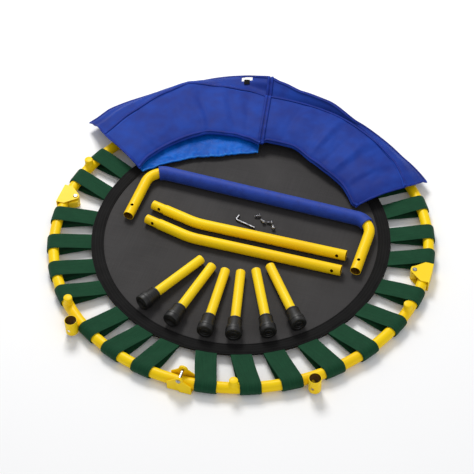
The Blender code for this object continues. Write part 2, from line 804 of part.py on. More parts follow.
def make_bolt(number, x, y, turn, parent):
    """A button-head bolt lying on its side."""
    head = BOLT_LENGTH + BOLT_HEAD
    profile = [
        (0, head - BOLT_RECESS),
        (BOLT_RECESS_RADIUS, head - BOLT_RECESS),
        (BOLT_RECESS_RADIUS, head),
        (BOLT_FLAT_RADIUS, head),
        (BOLT_HEAD_RADIUS, BOLT_LENGTH + BOLT_EDGE),
        (BOLT_HEAD_RADIUS, BOLT_LENGTH),
        (PIN_RADIUS, BOLT_LENGTH),
        (PIN_RADIUS, 0),
        (0, 0),
    ]
    bolt = turned(f"bolt_{number}", profile, STEEL, steps=BOLT_SIDES)
    tilt = math.asin((BOLT_HEAD_RADIUS - PIN_RADIUS) / BOLT_LENGTH)
    bolt.rotation_euler = Euler((0, math.radians(90) - tilt, math.radians(turn)))
    bolt.location = (x, y, LAY_Z + PIN_RADIUS + LAY_GAP)
    bolt.parent = parent


def pad_section(inner, edge, hem):
    """Section of the cover: it rises over the hinge lobes and its skirt falls outside the ring."""
    over = PIN_Z + FOLD_LOBE + PAD_CLEAR
    wall = TUBE_R + FOLD_CHEEK_GAP + FOLD_LEAF_GAP + 2 * PLATE + PIN_GAP + PIN_HEAD_THICK
    inside = RING_R - wall - PAD_CLEAR
    outside = RING_R + wall + PAD_CLEAR
    seat = BORDER_TOP + PAD_CLEAR
    skirt = max(outside, hem - SKIRT_THICK)
    return [
        (inner, seat + PAD_THICK * PAD_INNER_SHARE),
        ((inner + inside) / 2, over + PAD_THICK * PAD_MIDDLE_SHARE),
        (inside, over + PAD_THICK),
        (max(edge, outside), over + PAD_THICK * PAD_EDGE_SHARE),
        (hem, PAD_HEM_LIFT),
        (skirt, PAD_HEM_LIFT),
        (outside, over),
        (inside, over),
        (inner, seat),
    ]


def make_pads(parent):
    """The two panels of the folded cover."""
    for side, pad in PADS.items():
        section = pad_section(*(RING_R + pad[key] for key in ("inner", "edge", "hem")))
        bm = spin_section(section, pad["start"], pad["end"], PAD_STEPS)
        make_object(f"frame_pad_{side}", bm, PAD_CLOTH).parent = parent


def centre_on_floor(root):
    """Move the whole kit so that the middle of its footprint is the origin."""
    bpy.context.view_layer.update()
    graph = bpy.context.evaluated_depsgraph_get()
    points = []
    for obj in PARTS.objects:
        if obj.type == "MESH":
            body = obj.evaluated_get(graph)
            points += [body.matrix_world @ v.co for v in body.data.vertices]
    low = [min(p[i] for p in points) for i in range(3)]
    high = [max(p[i] for p in points) for i in range(3)]
    root.location = (-(low[0] + high[0]) / 2, -(low[1] + high[1]) / 2, -low[2])


def build():
    """Make the whole kit."""
    root = make_empty("trampoline", (0, 0, 0))
    left = make_empty("left_half", (0, 0, 0), root)
    pivot = make_empty("right_half", (0, 0, PIN_Z), root)
    right = make_empty("right_half_parts", (0, 0, -PIN_Z), pivot)
    halves = {"far_right": right, "far_left": left, "near_left": left, "near_right": right}
    for quarter, half in halves.items():
        make_quarter(quarter, half)
        make_webbing(quarter, half)
    make_mat("left", 90, left)
    make_mat("right", -90, right)
    make_fold_hinge("near", -RING_R, left, right)
    make_fold_hinge("far", RING_R, left, right)
    make_swing_hinge("left", 180, left)
    make_swing_hinge("right", 0, right)
    for number, (foot_angle, top_angle) in enumerate(LEG_FAN, 1):
        make_leg(number, foot_angle, top_angle, root)
    make_handlebar(root)
    make_bar("lower_bar_far", BAR_AT[1], root)
    make_bar("lower_bar_near", BAR_AT[1] - BAR_SPREAD, root)
    make_hex_key(root)
    for number, (x, y, turn) in enumerate(BOLTS, 1):
        make_bolt(number, x, y, turn, root)
    make_pads(root)
    centre_on_floor(root)


build()
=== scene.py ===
"""Folding mini trampoline kit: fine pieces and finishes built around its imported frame.

Every length is in metres and every angle in degrees unless a name says otherwise. +Z is up.
Pieces are drawn in the ring's own frame, whose origin is on the floor under the ring's middle,
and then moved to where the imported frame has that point.
"""

import json
import logging
import math
import sys
from collections.abc import Callable, Sequence
from dataclasses import dataclass
from enum import Enum
from functools import cache

import bmesh
import bpy
from mathutils import Matrix, Vector, noise


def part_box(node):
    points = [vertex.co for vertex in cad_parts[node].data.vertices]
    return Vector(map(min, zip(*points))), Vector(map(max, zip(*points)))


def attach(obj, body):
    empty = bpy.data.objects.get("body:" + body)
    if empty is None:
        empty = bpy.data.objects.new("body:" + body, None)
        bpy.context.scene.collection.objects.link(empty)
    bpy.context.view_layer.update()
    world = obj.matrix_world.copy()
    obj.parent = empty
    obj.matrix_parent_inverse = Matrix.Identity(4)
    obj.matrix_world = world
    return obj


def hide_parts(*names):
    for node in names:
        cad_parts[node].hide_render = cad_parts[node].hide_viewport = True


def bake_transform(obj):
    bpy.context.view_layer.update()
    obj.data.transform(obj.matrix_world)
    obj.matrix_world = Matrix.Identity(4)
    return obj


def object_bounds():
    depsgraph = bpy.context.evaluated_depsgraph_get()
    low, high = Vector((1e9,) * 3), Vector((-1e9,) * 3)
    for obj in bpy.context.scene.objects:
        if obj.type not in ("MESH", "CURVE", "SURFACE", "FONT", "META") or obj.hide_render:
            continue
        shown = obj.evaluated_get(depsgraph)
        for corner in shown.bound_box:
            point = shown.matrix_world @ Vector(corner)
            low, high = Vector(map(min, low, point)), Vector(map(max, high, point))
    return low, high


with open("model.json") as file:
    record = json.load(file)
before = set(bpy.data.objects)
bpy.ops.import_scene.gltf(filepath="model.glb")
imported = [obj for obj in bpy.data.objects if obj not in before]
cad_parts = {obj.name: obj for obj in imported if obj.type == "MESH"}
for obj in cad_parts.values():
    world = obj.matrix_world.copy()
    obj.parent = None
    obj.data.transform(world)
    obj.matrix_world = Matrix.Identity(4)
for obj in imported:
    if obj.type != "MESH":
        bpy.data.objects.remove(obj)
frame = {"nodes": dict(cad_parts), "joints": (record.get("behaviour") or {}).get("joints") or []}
CAD_BOX = [list(corner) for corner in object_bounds()]
LOG = logging.getLogger("trampoline")

CLOTH_MAP = "cloth"
SHARP_ANGLE = 38.0
WELD_DISTANCE = 1e-6
FOLD_HALF_WIDTH = 0.036
LIP = 0.0003


def middle_of_ring() -> Vector:
    """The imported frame's place for the floor point under the ring's middle."""
    fold = next(j for j in frame["joints"] if j["name"] == "frame_fold")
    mat_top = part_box("mat_left")[1].z
    return Vector((fold["pos_m"][0], fold["pos_m"][1], mat_top - RingSizes().mat_top))


# ------------------------------------------------------------------ shader expressions


class Wire:
    """One output of a node. Arithmetic on it adds Math nodes."""

    def __init__(self, graph: "Graph", socket: bpy.types.NodeSocket) -> None:
        """Hold the output.

        Args:
            graph: the material's nodes.
            socket: the output itself.
        """
        self.graph = graph
        self.socket = socket

    def maths(self, operation: str, first: "Value", second: "Value" = 0.0) -> "Wire":
        """Add one Math node.

        Args:
            operation: the Math node's operation.
            first: its first value.
            second: its second value.

        Returns:
            The node's output.
        """
        return self.graph.node("ShaderNodeMath", {"operation": operation}, {0: first, 1: second})

    def __add__(self, other: "Value") -> "Wire":
        """Sum."""
        return self.maths("ADD", self, other)

    def __radd__(self, other: float) -> "Wire":
        """Sum, number first."""
        return self.maths("ADD", other, self)

    def __sub__(self, other: "Value") -> "Wire":
        """Difference."""
        return self.maths("SUBTRACT", self, other)

    def __rsub__(self, other: float) -> "Wire":
        """Difference, number first."""
        return self.maths("SUBTRACT", other, self)

    def __mul__(self, other: "Value") -> "Wire":
        """Product."""
        return self.maths("MULTIPLY", self, other)

    def __rmul__(self, other: float) -> "Wire":
        """Product, number first."""
        return self.maths("MULTIPLY", other, self)

    def sine(self) -> "Wire":
        """Sine, of an angle in radians."""
        return self.maths("SINE", self)

    def within(self, low: float, high: float) -> "Wire":
        """Nought below low, one above high, and a smooth rise between.

        Args:
            low: where the rise starts.
            high: where it ends.

        Returns:
            The mask.
        """
        settings = {"interpolation_type": "SMOOTHSTEP"}
        return self.graph.node("ShaderNodeMapRange", settings, {0: self, 1: low, 2: high})


Value = Wire | float
Triple = tuple[float, float, float]
Colour = Triple
Table = tuple[tuple[float, float], ...]


class Graph:
    """The nodes of one material."""

    def __init__(self, name: str) -> None:
        """Start an empty material.

        Args:
            name: the material's name.
        """
        self.material = bpy.data.materials.new(name)
        self.material.use_nodes = True
        self.tree = self.material.node_tree
        self.tree.nodes.clear()

    def node(
        self, kind: str, settings: dict[str, object] | None = None,
        sockets: dict[int | str, object] | None = None, output: int | str = 0,
    ) -> Wire:
        """Add any node.

        Args:
            kind: the node's type.
            settings: its own settings, set first.
            sockets: a value or a link for each input that is used.
            output: which output to hand back.

        Returns:
            The chosen output.
        """
        made = self.tree.nodes.new(kind)
        for key, value in (settings or {}).items():
            setattr(made, key, value)
        for key, value in (sockets or {}).items():
            if isinstance(value, Wire):
                self.tree.links.new(value.socket, made.inputs[key])
            else:
                made.inputs[key].default_value = value
        return Wire(self, made.outputs[output])

    def flat(self) -> tuple[Wire, Wire]:
        """The cloth's own flat coordinates in metres: across it and along it."""
        chart = self.node("ShaderNodeUVMap", {"uv_map": CLOTH_MAP})
        across = self.node("ShaderNodeSeparateXYZ", {}, {0: chart}, 0)
        along = self.node("ShaderNodeSeparateXYZ", {}, {0: chart}, 1)
        return across, along

    def flat_point(self) -> Wire:
        """The cloth's flat coordinates as one vector."""
        return self.node("ShaderNodeUVMap", {"uv_map": CLOTH_MAP})

    def place(self) -> Wire:
        """A rigid piece's own coordinates, which move with it."""
        return self.node("ShaderNodeTexCoord", {}, {}, "Object")

    def stretched(self, point: Wire, scale: Triple) -> Wire:
        """A vector scaled on each axis."""
        return self.node("ShaderNodeVectorMath", {"operation": "MULTIPLY"}, {0: point, 1: scale})

    def mottle(self, point: Wire, scale: float, detail: float = 3.0) -> Wire:
        """Noise from nought to one.

        Args:
            point: where it is read.
            scale: how many blotches there are to the metre.
            detail: how many finer layers it has.

        Returns:
            The noise value.
        """
        sockets = {"Vector": point, "Scale": scale, "Detail": detail}
        return self.node("ShaderNodeTexNoise", {}, sockets)

    def mix(self, share: Value, low: "Colour | Wire", high: "Colour | Wire") -> Wire:
        """A colour between two.

        Args:
            share: how much of the second there is.
            low: the first colour.
            high: the second colour.

        Returns:
            The mixed colour.
        """
        first, second = ((*c, 1.0) if isinstance(c, tuple) else c for c in (low, high))
        settings = {"data_type": "RGBA", "clamp_factor": True}
        return self.node("ShaderNodeMix", settings, {0: share, 6: first, 7: second}, 2)

    def bump(self, height: Wire, distance: float, strength: float = 1.0) -> Wire:
        """A normal that follows a height.

        Args:
            height: from nought to one.
            distance: how deep one is, in metres.
            strength: the node's strength.

        Returns:
            The normal.
        """
        sockets = {"Height": height, "Distance": distance, "Strength": strength}
        return self.node("ShaderNodeBump", {}, sockets)

    def outward_edges(self, low: float = 0.53, high: float = 0.62) -> Wire:
        """A mask of a solid's outward edges."""
        point = self.node("ShaderNodeNewGeometry", {}, {}, "Pointiness")
        return point.within(low, high)

    def surface(self, varied: dict[str, Wire], fixed: dict[str, object]) -> bpy.types.Material:
        """Close the material with one Principled shader.

        Args:
            varied: what changes over the surface.
            fixed: what is the same all over it.

        Returns:
            The material.
        """
        shader = self.node("ShaderNodeBsdfPrincipled", {}, {**fixed, **varied})
        self.node_end(shader)
        return self.material

    def node_end(self, shader: Wire) -> None:
        """Link the material's output."""
        end = self.tree.nodes.new("ShaderNodeOutputMaterial")
        self.tree.links.new(shader.socket, end.inputs["Surface"])


# ------------------------------------------------------------------------- finishes


class Slot(Enum):
    """The record's material slots."""

    COAT = "yellow_powder_coat"
    WEBBING = "green_webbing"
    MAT = "mat_fabric"
    RUBBER = "black_rubber"
    FOAM = "blue_foam"
    STEEL = "plated_steel"
    PAD = "blue_pad_cloth"


@dataclass(frozen=True)
class PowderCoat:
    """Thick glossy powder coat on steel tube."""

    name: str = "powder_coat"
    slot: Slot = Slot.COAT
    colour: Colour = (0.95, 0.655, 0.0)
    thin: Colour = (0.88, 0.49, 0.0)
    worn: Colour = (0.96, 0.71, 0.02)
    peel_scale: float = 420.0
    peel_depth: float = 0.00006

    def dress(self) -> bpy.types.Material:
        """Make the material: slight colour drift, orange peel and paler edges."""
        graph = Graph(self.name)
        at = graph.place()
        drift = graph.mottle(at, 9.0, 2.0)
        grime = graph.mottle(at, 55.0, 5.0)
        body = graph.mix(drift.within(0.35, 0.75) * 0.55, self.colour, self.thin)
        edged = graph.mix(graph.outward_edges() * 0.5, body, self.worn)
        peel = graph.mottle(at, self.peel_scale, 1.0)
        return graph.surface(
            {
                "Base Color": edged, "Roughness": grime * 0.16 + 0.40,
                "Normal": graph.bump(peel, self.peel_depth, 0.6),
            },
            {"Coat Weight": 0.05, "Coat Roughness": 0.15, "Specular IOR Level": 0.18},
        )


@dataclass(frozen=True)
class Tape:
    """Woven strap, with ribs along it and weft rows across."""

    name: str
    slot: Slot
    colour: Colour
    dark: Colour
    rib: float = 0.0022
    row: float = 0.0011
    depth: float = 0.00022
    sheen: float = 0.05

    def dress(self) -> bpy.types.Material:
        """Make the material: herringbone ribs, weft rows, streaks along the strap and random patches."""
        graph = Graph(self.name)
        across, along = graph.flat()
        lean = (across * (math.tau / self.rib)).sine()
        rows = (along * (math.tau / self.row) + lean * 1.4).sine() * 0.5 + 0.5
        ribs = lean * 0.5 + 0.5
        weave = rows * 0.55 + ribs * 0.45
        streaks = graph.mottle(graph.stretched(graph.flat_point(), (420.0, 14.0, 1.0)), 1.0, 2.0)
        patches = graph.mottle(graph.flat_point(), 34.0, 4.0)
        tone = weave * 0.35 + streaks * 0.4 + patches * 0.35
        return graph.surface(
            {
                "Base Color": graph.mix(tone.within(0.25, 0.9), self.dark, self.colour),
                "Roughness": 0.92 - weave * 0.18,
                "Normal": graph.bump(weave * 0.7 + patches * 0.3, self.depth, 0.8),
            },
            {"Sheen Weight": self.sheen, "Sheen Roughness": 0.5, "Specular IOR Level": 0.12},
        )


@dataclass(frozen=True)
class MatWeave:
    """Tight plain weave of flat yarns, slightly shiny."""

    name: str = "mat_weave"
    slot: Slot = Slot.MAT
    colour: Colour = (0.050, 0.047, 0.0475)
    dark: Colour = (0.022, 0.0208, 0.021)
    yarn: float = 0.0013
    depth: float = 0.00018

    def dress(self) -> bpy.types.Material:
        """Make the material: over-and-under yarns, yarn-by-yarn tone and faint rubbed patches."""
        graph = Graph(self.name)
        across, along = graph.flat()
        turn = math.pi / self.yarn
        over = (across * turn).sine() * (along * turn).sine() * 0.5 + 0.5
        warp = graph.mottle(graph.stretched(graph.flat_point(), (900.0, 8.0, 1.0)), 1.0, 1.0)
        weft = graph.mottle(graph.stretched(graph.flat_point(), (8.0, 900.0, 1.0)), 1.0, 1.0)
        rubbed = graph.mottle(graph.flat_point(), 7.0, 5.0)
        tone = over * 0.35 + warp * 0.25 + weft * 0.25 + rubbed * 0.3
        return graph.surface(
            {
                "Base Color": graph.mix(tone.within(0.3, 0.85), self.dark, self.colour),
                "Roughness": 0.78 - rubbed * 0.22,
                "Normal": graph.bump(over * 0.8 + warp * 0.2, self.depth, 0.7),
            },
            {"Sheen Weight": 0.03, "Sheen Roughness": 0.45, "Specular IOR Level": 0.15},
        )


@dataclass(frozen=True)
class Rubber:
    """Moulded rubber, dusty on its edges."""

    name: str = "moulded_rubber"
    slot: Slot = Slot.RUBBER
    colour: Colour = (0.0035, 0.0035, 0.0038)
    dust: Colour = (0.018, 0.017, 0.016)

    def dress(self) -> bpy.types.Material:
        """Make the material: fine moulded grain, dust and rubbed edges."""
        graph = Graph(self.name)
        at = graph.place()
        grain = graph.mottle(at, 1500.0, 2.0)
        patches = graph.mottle(at, 70.0, 5.0)
        dusty = patches.within(0.45, 0.8) * 0.4 + graph.outward_edges() * 0.4
        return graph.surface(
            {
                "Base Color": graph.mix(dusty, self.colour, self.dust),
                "Roughness": patches * 0.25 + 0.36, "Normal": graph.bump(grain, 0.00012, 0.6),
            },
            {"Specular IOR Level": 0.45},
        )


@dataclass(frozen=True)
class Foam:
    """Closed-cell foam sleeve with a moulded skin."""

    name: str = "foam_skin"
    slot: Slot = Slot.FOAM
    colour: Colour = (0.014, 0.050, 0.34)
    dark: Colour = (0.008, 0.026, 0.21)

    def dress(self) -> bpy.types.Material:
        """Make the material: fine cells, soft mottling and darker pores."""
        graph = Graph(self.name)
        at = graph.place()
        cells = graph.node("ShaderNodeTexVoronoi", {}, {"Vector": at, "Scale": 900.0})
        soft = graph.mottle(at, 60.0, 4.0)
        tone = soft * 0.8 + cells * 0.5
        return graph.surface(
            {
                "Base Color": graph.mix(tone.within(0.3, 0.8), self.dark, self.colour),
                "Roughness": soft * 0.2 + 0.5, "Normal": graph.bump(cells, 0.00025, 0.5),
            },
            {"Sheen Weight": 0.06, "Sheen Roughness": 0.4, "Specular IOR Level": 0.25},
        )


@dataclass(frozen=True)
class Steel:
    """Bright zinc-plated steel."""

    name: str = "bright_zinc"
    slot: Slot = Slot.STEEL
    colour: Colour = (0.42, 0.42, 0.44)
    dull: Colour = (0.10, 0.10, 0.10)

    def dress(self) -> bpy.types.Material:
        """Make the material: patchy plating with dull patches, and turning marks."""
        graph = Graph(self.name)
        at = graph.place()
        patches = graph.mottle(at, 260.0, 4.0)
        marks = graph.mottle(graph.stretched(at, (1.0, 1.0, 9.0)), 700.0, 2.0)
        return graph.surface(
            {
                "Base Color": graph.mix(patches.within(0.4, 0.75), self.colour, self.dull),
                "Roughness": marks * 0.22 + 0.16, "Normal": graph.bump(marks, 0.00003, 0.5),
            },
            {"Metallic": 1.0},
        )


@dataclass(frozen=True)
class CoverCloth:
    """Coated fabric: a fine woven base under a soft plastic skin."""

    name: str
    slot: Slot
    colour: Colour
    # The darker colour, used for painted shade in the crinkles' hollows and for random darker mottling.
    dark: Colour
    rough: float
    crinkle_scale: float
    crinkle_depth: float
    gloss: float = 0.10
    # Brighter blue painted on outward edges as a painted highlight.
    painted_edge_highlight: Colour = (0.02, 0.09, 0.55)

    def dress(self) -> bpy.types.Material:
        """Make the material: pressed weave, crinkles, random mottling, painted shade in the crinkles'
        hollows and a painted highlight of brighter blue on outward edges.
        """
        graph = Graph(self.name)
        at = graph.place()
        folds = graph.mottle(at, self.crinkle_scale, 5.0)
        broad = graph.mottle(at, 11.0, 3.0)
        grain = graph.node("ShaderNodeTexVoronoi", {}, {"Vector": at, "Scale": 1300.0})
        # The crinkle noise that sinks the bump also darkens the colour: painted shade in the crinkles'
        # hollows; the broad noise adds random mottling.
        tone = folds * 0.55 + broad * 0.6
        body = graph.mix(tone.within(0.35, 0.85), self.dark, self.colour)
        # Painted highlight: outward edges are tinted towards the brighter blue.
        rubbed = graph.mix(graph.outward_edges(0.51, 0.58) * 0.35, body, self.painted_edge_highlight)
        height = folds * 0.92 + grain * 0.08
        return graph.surface(
            {
                "Base Color": rubbed, "Roughness": folds * 0.22 + self.rough,
                "Normal": graph.bump(height, self.crinkle_depth, 0.7),
            },
            {"Specular IOR Level": self.gloss},
        )


Finish = PowderCoat | Tape | MatWeave | Rubber | Foam | Steel | CoverCloth

COAT = PowderCoat()
BAND_TAPE = Tape("band_tape", Slot.WEBBING, (0.0105, 0.074, 0.032), (0.0035, 0.030, 0.013))
BORDER_TAPE = Tape("border_tape", Slot.WEBBING, (0.0085, 0.0080, 0.0082), (0.0028, 0.0026, 0.0027))
MAT_WEAVE = MatWeave()
RUBBER = Rubber()
FOAM = Foam()
STEEL = Steel()
KEY_STEEL = Steel("dark_zinc", Slot.STEEL, (0.085, 0.085, 0.09), (0.03, 0.03, 0.03))
# A darkened copy of the coat for tube bores: painted shade inside the tubes.
SHADED_BORE_COAT = PowderCoat(
    "tube_inside_painted_shade", Slot.COAT, (0.16, 0.075, 0.004), (0.05, 0.022, 0.002), (0.20, 0.09, 0.01)
)
# Each cover finish darkens its crinkles' hollows as painted shade and tints its outward edges with a painted
# highlight.
COVER = CoverCloth(
    "cover_cloth", Slot.PAD, (0.012, 0.052, 0.33), (0.010, 0.026, 0.20), 0.50, 30.0, 0.0016
)
COVER_EDGE = CoverCloth(
    "cover_edge", Slot.PAD, (0.010, 0.028, 0.25), (0.006, 0.012, 0.12), 0.45, 90.0, 0.0006
)
LINING = CoverCloth(
    "cover_lining", Slot.PAD, (0.0, 0.118, 0.56), (0.0, 0.055, 0.33), 0.34, 70.0, 0.0022, 0.10,
    (0.05, 0.36, 0.85),
)


@cache
def material_of(finish: Finish) -> bpy.types.Material:
    """The one material of a finish."""
    return finish.dress()


# ---------------------------------------------------------------------- mesh making


def polar(radius: float, degrees: float, z: float = 0.0) -> Vector:
    """A point at a distance and a direction from the ring's middle."""
    angle = math.radians(degrees)
    return Vector((radius * math.cos(angle), radius * math.sin(angle), z))


def between(table: Sequence[tuple[float, float]], at: float) -> float:
    """Read a table of (place, value) with eased steps between its rows.

    Args:
        table: rows in rising order of place.
        at: the place to read.

    Returns:
        The value there, held level past either end.
    """
    if at <= table[0][0]:
        return table[0][1]
    for (a, low), (b, high) in zip(table, table[1:]):
        if at <= b:
            share = (at - a) / (b - a)
            eased = share * share * (3 - 2 * share)
            return low + (high - low) * (0.5 * share + 0.5 * eased)
    return table[-1][1]


def ripple(point: Vector, size: float, seed: float = 0.0) -> float:
    """Smooth noise from minus one to one, with features of that size."""
    return noise.noise(point / size + Vector((seed, seed * 1.7, -seed)))


class Skin:
    """Points, faces and flat coordinates of a piece while it is put together."""

    def __init__(self) -> None:
        """Start with nothing."""
        self.points: list[Vector] = []
        self.faces: list[list[int]] = []
        self.charts: list[list[tuple[float, float]]] = []
        self.inside: list[int] = []

    def patch(
        self, rows: Sequence[Sequence[Vector]],
        chart: Callable[[int, int], tuple[float, float]] | None = None, around: bool = False,
        along: bool = False,
    ) -> "Skin":
        """Add a grid of points as four-sided faces.

        Args:
            rows: rows of equally many points.
            chart: the flat coordinates of a row and a column.
            around: join each row's ends.
            along: join the last row to the first.

        Returns:
            This skin.
        """
        base, height, width = len(self.points), len(rows), len(rows[0])
        for row in rows:
            self.points.extend(row)
        for i in range(height if along else height - 1):
            for j in range(width if around else width - 1):
                corners = ((i, j), (i, j + 1), (i + 1, j + 1), (i + 1, j))
                self.faces.append([base + (a % height) * width + b % width for a, b in corners])
                self.charts.append([chart(a, b) if chart else (0.0, 0.0) for a, b in corners])
        return self

    def cap(self, ring: Sequence[Vector]) -> "Skin":
        """Close a ring of points with one face."""
        base = len(self.points)
        self.points.extend(ring)
        self.faces.append(list(range(base, base + len(ring))))
        self.charts.append([(p.x, p.y) for p in ring])
        return self

    def turned(self, profile: Sequence[tuple[float, float]], sides: int = 40) -> "Skin":
        """Add a turned solid about its own Z axis.

        Args:
            profile: (radius, height) rows, from one end on the axis to the other, or a closed loop.
            sides: how many sides it has.

        Returns:
            This skin.
        """
        turns = [math.tau * j / sides for j in range(sides)]
        rows = [[Vector((r * math.cos(a), r * math.sin(a), z)) for a in turns] for r, z in profile]
        return self.patch(rows, around=True)

    def mark_inside(self, first: int, last: int) -> "Skin":
        """Give the faces from one number up to another the darkened coat of a bore: painted shade inside the
        tube.
        """
        self.inside.extend(range(first, last))
        return self

    def ring(self, profile: Sequence[tuple[float, float]], sides: int = 40) -> "Skin":
        """Add a turned solid with a hole through it, from a closed loop that ends down the bore."""
        self.turned([*profile, profile[0]], sides)
        return self.mark_inside(len(self.faces) - sides, len(self.faces))

    def tube(
        self, stations: Sequence[tuple[Vector, Vector, float]], sides: int = 28, closed: bool = False
    ) -> "Skin":
        """Sweep a round section.

        Args:
            stations: (middle, direction, radius) of each section, all directions in one level plane.
            sides: how many sides it has.
            closed: join the last section to the first.

        Returns:
            This skin.
        """
        rows = []
        for middle, direction, radius in stations:
            side = Vector((0, 0, 1)).cross(direction).normalized()
            turns = [math.tau * j / sides for j in range(sides)]
            ring = [side * math.cos(a) + Vector((0, 0, 1)) * math.sin(a) for a in turns]
            rows.append([middle + out * radius for out in ring])
        self.patch(rows, around=True, along=closed)
        if closed:
            bore = len(rows) // 2 + 2
            return self.mark_inside(bore * sides, len(self.faces))
        return self.cap(rows[0]).cap(rows[-1])

    def bore_marks(self, finish: Finish) -> list[int]:
        """The material number of each face: one, the darkened coat of painted shade, in a coated tube's bore
        and nought elsewhere.
        """
        shaded_faces = set(self.inside) if finish is COAT else set()
        return [int(number in shaded_faces) for number in range(len(self.faces))]

    def build(self, name: str, finish: Finish, place: Matrix | None = None) -> bpy.types.Object:
        """Make the object, smooth but for its sharp edges.

        Args:
            name: the piece's name.
            finish: what it is made of.
            place: where it goes, in the ring's frame.

        Returns:
            The object.
        """
        mesh = bpy.data.meshes.new(name)
        mesh.from_pydata([tuple(p) for p in self.points], [], self.faces)
        chart = mesh.uv_layers.new(name=CLOTH_MAP)
        flat = [value for face in self.charts for pair in face for value in pair]
        chart.uv.foreach_set("vector", flat)
        mesh.transform(Matrix.Translation(middle_of_ring()) @ (place or Matrix.Identity(4)))
        mesh.materials.append(material_of(finish))
        # Bore faces of a coated tube get the darkened coat, which paints the shade inside it.
        if self.inside:
            mesh.materials.append(material_of(SHADED_BORE_COAT))
            mesh.polygons.foreach_set("material_index", self.bore_marks(finish))
        tidy(mesh)
        obj = bpy.data.objects.new(name, mesh)
        bpy.context.scene.collection.objects.link(obj)
        return obj


def closed_box(size: Triple) -> Skin:
    """A closed block of that size about its own middle, for cutting."""
    x, y, z = (side / 2 for side in size)
    ring = [Vector((-x, -y, 0)), Vector((x, -y, 0)), Vector((x, y, 0)), Vector((-x, y, 0))]
    rows = [[p + Vector((0, 0, level)) for p in ring] for level in (-z, z)]
    return Skin().patch(rows, around=True).cap(rows[0]).cap(rows[1])


def tidy(mesh: bpy.types.Mesh) -> None:
    """Merge doubled points, turn faces outwards and mark sharp edges."""
    bm = bmesh.new()
    bm.from_mesh(mesh)
    bmesh.ops.remove_doubles(bm, verts=bm.verts, dist=WELD_DISTANCE)
    bmesh.ops.dissolve_degenerate(bm, edges=bm.edges, dist=WELD_DISTANCE)
    bmesh.ops.recalc_face_normals(bm, faces=bm.faces)
    bm.to_mesh(mesh)
    bm.free()
    mesh.shade_smooth()
    mesh.set_sharp_from_angle(angle=math.radians(SHARP_ANGLE))


def bake_modifiers(obj: bpy.types.Object) -> None:
    """Replace a piece's mesh with what its modifiers make of it."""
    graph = bpy.context.evaluated_depsgraph_get()
    graph.update()
    mesh = bpy.data.meshes.new_from_object(obj.evaluated_get(graph))
    obj.modifiers.clear()
    obj.data = mesh


def cut_away(obj: bpy.types.Object, cutter: bpy.types.Object) -> None:
    """Take a cutter's shape out of a piece, and remove the cutter."""
    cut = obj.modifiers.new("cut", "BOOLEAN")
    cut.operation, cut.object, cut.solver = "DIFFERENCE", cutter, "EXACT"
    bake_modifiers(obj)
    bpy.data.objects.remove(cutter, do_unlink=True)


def settle(piece: bpy.types.Object, body: str, *nodes: str) -> None:
    """Put a piece on its body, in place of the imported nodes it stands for.

    Args:
        piece: the piece.
        body: the body that it rides on.
        nodes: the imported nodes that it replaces, if any.
    """
    if nodes:
        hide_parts(*nodes)
    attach(piece, body)
    LOG.info("%s rides on %s", piece.name, body)


def drill(obj: bpy.types.Object, holes: Sequence[tuple[Vector, Vector, float]]) -> None:
    """Cut round holes in a finished piece.

    Args:
        obj: the piece.
        holes: (start, end, radius) of each, in the ring's frame.
    """
    for start, end, radius in holes:
        axis = end - start
        turn = axis.to_track_quat("Z", "Y").to_matrix().to_4x4()
        skin = Skin().turned([(0, 0), (radius, 0), (radius, axis.length), (0, axis.length)], 24)
        cut_away(obj, skin.build("cutter", COAT, Matrix.Translation(start) @ turn))
    obj.data.shade_smooth()
    obj.data.set_sharp_from_angle(angle=math.radians(SHARP_ANGLE))


def open_tube(
    path: Sequence[tuple[Vector, Vector, float]], wall: float, lip: float
) -> list[tuple[Vector, Vector, float]]:
    """Stations of an open-ended tube: out along its skin, round the lip and back inside.

    Args:
        path: (middle, direction, outside radius) of each section.
        wall: the wall's thickness.
        lip: the radius of the rounded ends.

    Returns:
        A closed run of stations.
    """
    first, last = path[0], path[-1]
    start = [
        (first[0], first[1], first[2] - wall + lip), (first[0], first[1], first[2] - lip),
        (first[0] + first[1] * lip, first[1], first[2]),
    ]
    end = [
        (last[0] - last[1] * lip, last[1], last[2]), (last[0], last[1], last[2] - lip),
        (last[0], last[1], last[2] - wall + lip), (last[0] - last[1] * lip, last[1], last[2] - wall),
    ]
    inside = [(p, d, r - wall) for p, d, r in reversed(path[1:-1])]
    back = [(first[0] + first[1] * lip, first[1], first[2] - wall)]
    return [*start, *path[1:-1], *end, *inside, *back]


def directions(points: Sequence[Vector]) -> list[Vector]:
    """The direction of a path at each of its points."""
    ends = list(zip(points, points[1:]))
    runs = [(b - a).normalized() for a, b in ends]
    middle = [(a + b).normalized() for a, b in zip(runs, runs[1:])]
    return [runs[0], *middle, runs[-1]]


# ---------------------------------------------------------------------- ring and mat


@dataclass(frozen=True)
class RingSizes:
    """Sizes that the ring, the mat and the loose parts share."""

    ring: float = 0.4443
    tube: float = 0.0127
    wall: float = 0.0012
    height: float = 0.0165
    end_gap: float = 0.0004
    mat_top: float = 0.01625
    mat_thick: float = 0.0015
    mat: float = 0.3480
    border_in: float = 0.3255
    border_out: float = 0.3555


SIZES = RingSizes()


class Quarter(Enum):
    """The ring's quarters, by the angle where each starts."""

    FAR_RIGHT = 0
    FAR_LEFT = 90
    NEAR_LEFT = 180
    NEAR_RIGHT = 270

    @property
    def title(self) -> str:
        """The quarter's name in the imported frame."""
        return self.name.lower()

    @property
    def body(self) -> str:
        """The body that the quarter rides on."""
        return "right_half" if "RIGHT" in self.name else "left_half"


@dataclass(frozen=True)
class BandPlace:
    """Where one band lies: its place on the tube, its sewn end's lean and its width."""

    at: float
    lean: float = 0.0
    width: float = 0.0440


